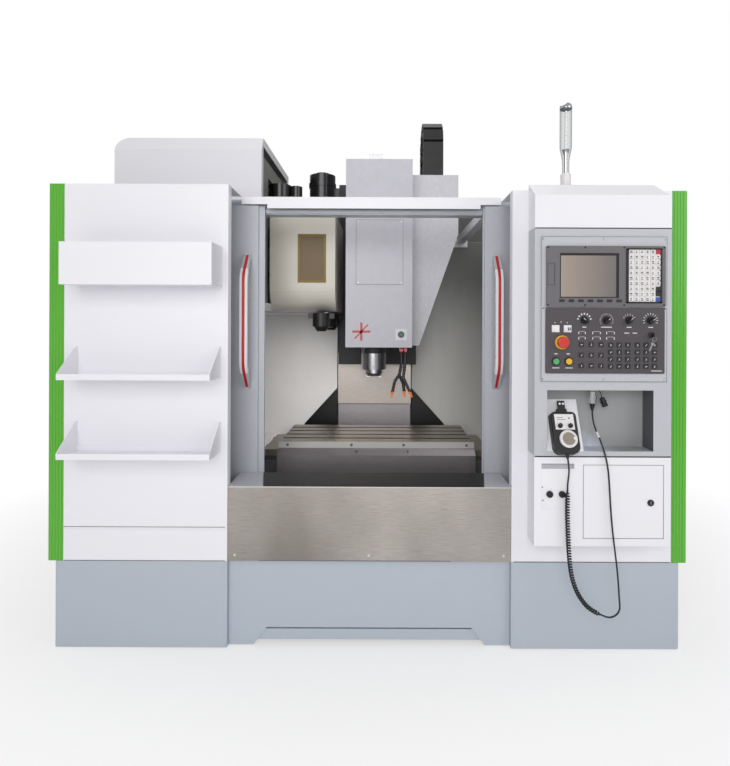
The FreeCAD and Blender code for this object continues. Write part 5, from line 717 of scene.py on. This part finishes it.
# The neck of the key in its lock, the ring through it, and a spare key that hangs from the ring.
keyRing = {"x": 1000, "behind": -113, "z": 1152, "radius": 7, "wire": 0.7, "steps": 24}
spareKey = {"top": (996, 1140), "turn": 205, "grip": 9, "length": 32}
form = bmesh.new()
addRod(form, place(keyRing["x"], -112, 1158), place(keyRing["x"], -110, 1158), 1.0)
for step in range(keyRing["steps"]):
    turns = [2 * math.pi * (step + k) / keyRing["steps"] for k in (0, 1)]
    start, end = [place(keyRing["x"] + keyRing["radius"] * math.sin(t), keyRing["behind"],
                        keyRing["z"] + keyRing["radius"] * math.cos(t)) for t in turns]
    addRod(form, start, end, keyRing["wire"], sides=10)
addStroke(form, *spareKey["top"], spareKey["turn"], 0, spareKey["grip"], 12, (-113.8, -112.2))
addStroke(form, *spareKey["top"], spareKey["turn"], spareKey["grip"], spareKey["length"], 5, (-113.6, -112.4))
finishPiece(form, "console keys on a ring", "chrome")
print("console details made")

# The red mark of the three axis directions on the head's cover.
markMiddle = (-45, 1164)
form = bmesh.new()
for degrees, halfLength, width in ((0, 43, 11), (90, 43, 11), (43, 46, 7)):
    addStroke(form, *markMiddle, degrees, -halfLength, halfLength, width, (529.6, 529.95))
finishPiece(form, "axis directions mark", "inlay", "head")

# The handwheel unit, in its own leaning axes: the strokes and the disc of its dial.
dialX, dialZ = 5, 50.5
form = bmesh.new()
for degrees in range(0, 360, 10):
    addStroke(form, dialX, dialZ, degrees, 24.5, 27.5, 0.7, (-43.42, -43.3))
finishPiece(form, "dial strokes", "inkGrey", "handwheel_dial", lean=unitLean)
form = bmesh.new()
addRod(form, place(dialX, -43.2, dialZ), place(dialX, -45.0, dialZ), 22.5, 21.5, 64)
finishPiece(form, "dial disc", "ground", "handwheel_dial", lean=unitLean)

# Print on its face plate: a scale round each of two selectors, and three bars. The selectors have pointers.
selectors = {-18: -25, 18: 30}  # X of the axis, and the pointer's turn
selectorZ = 97
unitPrint, selectorFace = (-35.15, -35.0), (-46.15, -46.0)
form = bmesh.new()
for x, degrees in selectors.items():
    addStroke(form, x, selectorZ, degrees, 0, 6, 1.4, selectorFace)
    for spoke in range(-75, 76, 30):
        addStroke(form, x, selectorZ, spoke, 10.2, 12.6, 0.9, unitPrint)
for xSpan, zSpan in (((-26, -4), (126, 128)), ((-26, 4), (119, 121)), ((14, 20), (122, 127))):
    addBlock(form, xSpan, unitPrint, zSpan)
finishPiece(form, "handwheel unit marks", "inkGrey", lean=unitLean)

# The plug's dust cap, its rim, and the short lanyard that it hangs on from the socket.
capTop = (853, -30, 935)
form = bmesh.new()
addRod(form, place(*capTop), place(865, -30, 906), 8.5, 10.5, 32)
addRod(form, place(857.5, -30, 924), place(859, -30, 920.5), 11.2, 11.2, 32)
lanyard = [(822, -40, 969.6), (834, -38, 966), (845, -35, 957), (850, -32, 946), capTop]
for first, second in zip(lanyard, lanyard[1:]):
    addRod(form, place(*first), place(*second), 1.3, sides=12)
finishPiece(form, "socket dust cap", "plasticBlack", bevelMm=0.4)

# The red inlay of the bowed door handles: a strip along the front of each bar. The bar's line is given by
# distance behind and height, from its foot over a bend to its middle, and its upper half mirrors that.
foot, corner, middle = Vector((190, 937)), Vector((120, 1027)), Vector((120, 1211))
bendReach, bendSteps, bareShare = 30.9, 8, 0.12
stripSection = ((-5.5, 0.9), (5.5, 0.9), (5.5, -0.5), (-5.5, -0.5))  # across the strip, and out of the bar
entry = corner + (foot - corner).normalized() * bendReach
leave = corner + (middle - corner).normalized() * bendReach
lowerHalf = [foot.lerp(entry, bareShare)]
for step in range(bendSteps + 1):
    share = step / bendSteps
    lowerHalf.append(entry.lerp(corner, share).lerp(corner.lerp(leave, share), share))
bow = lowerHalf + [Vector((behind, 2 * middle.y - z)) for behind, z in reversed(lowerHalf)]
for body, x in (("left_door", -493), ("right_door", 514)):
    form = bmesh.new()
    rings = []
    for index, spot in enumerate(bow):
        along = (bow[min(index + 1, len(bow) - 1)] - bow[max(index - 1, 0)]).normalized()
        out = Vector((-along.y, along.x))
        rings.append([form.verts.new(place(x + side, *(spot + out * lift))) for side, lift in stripSection])
    skinRings(form, rings)
    finishPiece(form, body.replace("_", " ") + " handle inlay", "inlay", body)
print("handles and handwheel unit made")

# The signal lamp: its foot, the clear tube drawn in to a neck, the reflector inside and the domed cap. Each
# has its paint and its pairs of radius and height.
lampX, lampBehind = 744, 45
lampForms = {
    "lamp foot": ("key", [(26, 1698.6), (26, 1704), (19, 1706), (19, 1768), (15, 1772)]),
    "lamp tube": ("lampTube", [(13, 1772.3), (12.6, 1800), (13.5, 1822), (17, 1843), (22, 1868), (22.3, 1900),
                               (22.3, 2010), (22.3, 2015)]),
    "lamp reflector": ("chrome", [(6, 1775), (6, 1838), (14, 1862), (4, 1866), (4, 2012)]),
    "lamp cap": ("chrome", [(22.5, 2015.3), (22.5, 2024), (20.6, 2030), (16, 2034.6), (8, 2036.9)]),
}
for name, (paint, profile) in lampForms.items():
    form = bmesh.new()
    addTurned(form, lampX, lampBehind, profile)
    lampPiece = finishPiece(form, name, paint)
    if name == "lamp tube":
        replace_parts(lampPiece, "signal_lamp")


# The handwheel's cord: the points of its route from the gland of the unit to its plug, in millimetres.
upperRoute = [(701, -111.4, 735.8), (701, -120.3, 716), (703, -119, 693), (704.5, -110, 670),
              (704.1, -102.2, 645)]
coilRoute = [(704, -102, 620), (703, -102, 548), (706, -102, 470), (710, -101, 395), (718, -100, 327),
             (736, -99, 268), (765, -98, 223), (793, -97, 198), (824, -96, 184)]
lowerRoute = [(847.7, -96, 173.3), (867.6, -96, 175.3), (883.8, -96.5, 187), (892, -97, 205.2),
              (888.4, -97.5, 241), (884.8, -98, 298), (878.8, -99, 356), (870.8, -100, 414),
              (863.4, -101, 472), (857.4, -101.4, 530), (853.6, -101.2, 588), (851, -100, 644),
              (847, -99, 697), (840, -92, 745), (830, -76, 790), (818, -55, 830), (812, -45, 868),
              (812, -45, 902.7)]
cordRadius = 3.0
coilRadius = 5.75  # from the axis of the curls to the middle of the cord
coilTurns = 50
coilEnd = 14.0  # over which the curls open out at either end
tagRadius = 3.6


# A smooth curve that its points pull on: a round cord if it has a radius, or else a bare line in finer steps.
def nurbsCurve(name, points, radiusMm=0.0):
    curve = bpy.data.curves.new(name, "CURVE")
    curve.dimensions = "3D"
    curve.bevel_depth = radiusMm * mm
    curve.bevel_resolution = 3
    curve.use_fill_caps = radiusMm > 0
    spline = curve.splines.new("NURBS")
    spline.points.add(len(points) - 1)
    for point, spot in zip(spline.points, points):
        point.co = (*spot, 1)
    spline.order_u = 3
    spline.use_endpoint_u = True
    spline.resolution_u = 4 if radiusMm else 24
    return curve


# The line that Blender draws through a route, read back as points.
def lineOf(points):
    guide = bpy.data.objects.new("guide", nurbsCurve("guide", points))
    mesh = bpy.data.meshes.new_from_object(guide)
    line = [vertex.co.copy() for vertex in mesh.vertices]
    bpy.data.objects.remove(guide)
    bpy.data.meshes.remove(mesh)
    return line


# Points of a helix about a line: the swing grows from nothing over each straight end.
def helixPoints(line, turns, radiusMm, endMm, perTurn=10):
    lengths = [0.0]
    for first, second in zip(line, line[1:]):
        lengths.append(lengths[-1] + (second - first).length)
    total = lengths[-1]
    points = []
    index = 0
    for step in range(1, turns * perTurn):
        along = total * step / (turns * perTurn)
        while lengths[index + 1] < along:
            index += 1
        share = (along - lengths[index]) / (lengths[index + 1] - lengths[index])
        ahead = (line[min(index + 2, len(line) - 1)] - line[max(index - 1, 0)]).normalized()
        across = ahead.cross(Vector((0, 1, 0))).normalized()
        lift = across.cross(ahead)
        angle = 2 * math.pi * turns * along / total
        swing = min(1, along / (endMm * mm), (total - along) / (endMm * mm)) * radiusMm * mm
        points.append(line[index].lerp(line[index + 1], share)
                      + (across * math.cos(angle) + lift * math.sin(angle)) * swing)
    return points


upper = [place(*spot) for spot in upperRoute]
coil = [place(*spot) for spot in coilRoute]
lower = [place(*spot) for spot in lowerRoute]
curls = helixPoints(lineOf(coil), coilTurns, coilRadius, coilEnd)
cordPoints = upper + [coil[0]] + curls + [coil[-1]] + lower
cord = addPiece("handwheel cord", nurbsCurve("handwheel cord", cordPoints, cordRadius), "rubber")
cordLine = lineOf(cordPoints)
# The white tag round the cord below its plug, from 800 to 820 mm up.
tagLine = [spot for spot in cordLine if 0.800 < spot.z < 0.820 and spot.x < 0.84]
form = bmesh.new()
for first, second in zip(tagLine, tagLine[1:]):
    addRod(form, first, second, tagRadius, sides=24)
tag = finishPiece(form, "cord tag", "legend")
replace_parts(cord, "handwheel_cord", "handwheel_cord_coil", "handwheel_cord_tail")
print("cord made")

# Camera: level, looking straight at the front, its picture shifted as the photograph was cropped. The
# picture's size, the focal length and the point straight ahead, from the top left corner, are in pixels.
pictureWidth, pictureHeight = 730, 766
focalPixels = 525
aheadX, aheadY = 382, 323
sensorMm = 36
camera = bpy.data.objects.new("camera", bpy.data.cameras.new("camera"))
bpy.context.scene.collection.objects.link(camera)
bpy.context.scene.camera = camera
camera.location = (0.052, -2.915, 1.205)
camera.rotation_euler = (math.radians(90), math.radians(-0.23), 0)
camera.data.sensor_width = sensorMm
camera.data.lens = sensorMm * focalPixels / pictureHeight
camera.data.shift_x = (pictureWidth / 2 - aheadX) / pictureHeight
camera.data.shift_y = (aheadY - pictureHeight / 2) / pictureHeight
camera.data.clip_end = 60


# A pale floor. Seen by the camera, it goes over to plain white away from the object.
def stageFloor():
    whiteFrom, whiteTo = 1.2, 2.6  # metres from the middle
    bpy.ops.mesh.primitive_plane_add(size=60, location=(0, 6, 0))
    floor = bpy.context.object
    floor.name = "floor"
    material = newMaterial("pale studio floor", "#F4F4F5", 0.6)
    spread(material, pattern(material, 900.0), 0.55, 0.65, "Roughness")
    spot = addNode(material, "ShaderNodeNewGeometry")
    far = addNode(material, "ShaderNodeVectorMath", {0: spot.outputs["Position"]}, operation="LENGTH")
    share = addNode(material, "ShaderNodeMapRange",
                    {"Value": far.outputs["Value"], "From Min": whiteFrom, "From Max": whiteTo,
                     "To Min": 0.55, "To Max": 1.0})
    path = addNode(material, "ShaderNodeLightPath")
    seen = addNode(material, "ShaderNodeMath", {0: share.outputs["Result"], 1: path.outputs["Is Camera Ray"]},
                   operation="MULTIPLY")
    glow = addNode(material, "ShaderNodeEmission", {"Color": (1, 1, 1, 1), "Strength": 1.0})
    mix = addNode(material, "ShaderNodeMixShader",
                  {0: seen.outputs["Value"], 1: shaderOf(material).outputs["BSDF"],
                   2: glow.outputs["Emission"]})
    material.node_tree.links.new(mix.outputs["Shader"],
                                 material.node_tree.nodes["Material Output"].inputs["Surface"])
    floor.data.materials.append(material)


# A white studio: soft light from all round, and full white where the camera sees past the object.
def stageWorld():
    world = bpy.data.worlds.new("studio")
    bpy.context.scene.world = world
    world.use_nodes = True
    back = world.node_tree.nodes["Background"]
    back.inputs["Color"].default_value = linear("#FFFFFF")
    back.inputs["Strength"].default_value = 0.42
    seen = addNode(world, "ShaderNodeBackground", {"Color": (1, 1, 1, 1), "Strength": 1.0})
    path = addNode(world, "ShaderNodeLightPath")
    mix = addNode(world, "ShaderNodeMixShader",
                  {0: path.outputs["Is Camera Ray"], 1: back.outputs["Background"],
                   2: seen.outputs["Background"]})
    world.node_tree.links.new(mix.outputs["Shader"],
                              world.node_tree.nodes["World Output"].inputs["Surface"])


# Square soft lights: place, what they point at, size in metres and power in watts.
def stageLights():
    lamps = {
        "front light": ((-0.6, -5.2, 2.3), (0.0, 0.0, 1.1), 3.0, 92),
        "right light": ((3.4, -3.2, 2.6), (0.2, 0.0, 1.0), 2.4, 32),
        "top light": ((-0.3, 0.2, 4.6), (0.0, 0.0, 0.0), 3.0, 50),
        "chamber light": ((0.1, -2.3, 1.5), (-0.2, 0.1, 0.9), 1.0, 27),
    }
    for name, (spot, target, size, power) in lamps.items():
        lamp = bpy.data.objects.new(name, bpy.data.lights.new(name, "AREA"))
        lamp.data.size = size
        lamp.data.energy = power
        lamp.location = spot
        lamp.rotation_euler = (Vector(target) - Vector(spot)).to_track_quat("-Z", "Y").to_euler()
        bpy.context.scene.collection.objects.link(lamp)
    # The light in front of the open doors reaches the chamber alone.
    chamber = bpy.data.collections.new("chamber")
    for name in ("splash_walls", "head_way_cover", "column_way_cover", "spindle", "coolant_hoses"):
        chamber.objects.link(nodes[name])
    bpy.data.objects["chamber light"].light_linking.receiver_collection = chamber


stageFloor()
stageWorld()
stageLights()
bpy.context.scene.view_settings.view_transform = "Standard"
print("stage and camera ready")
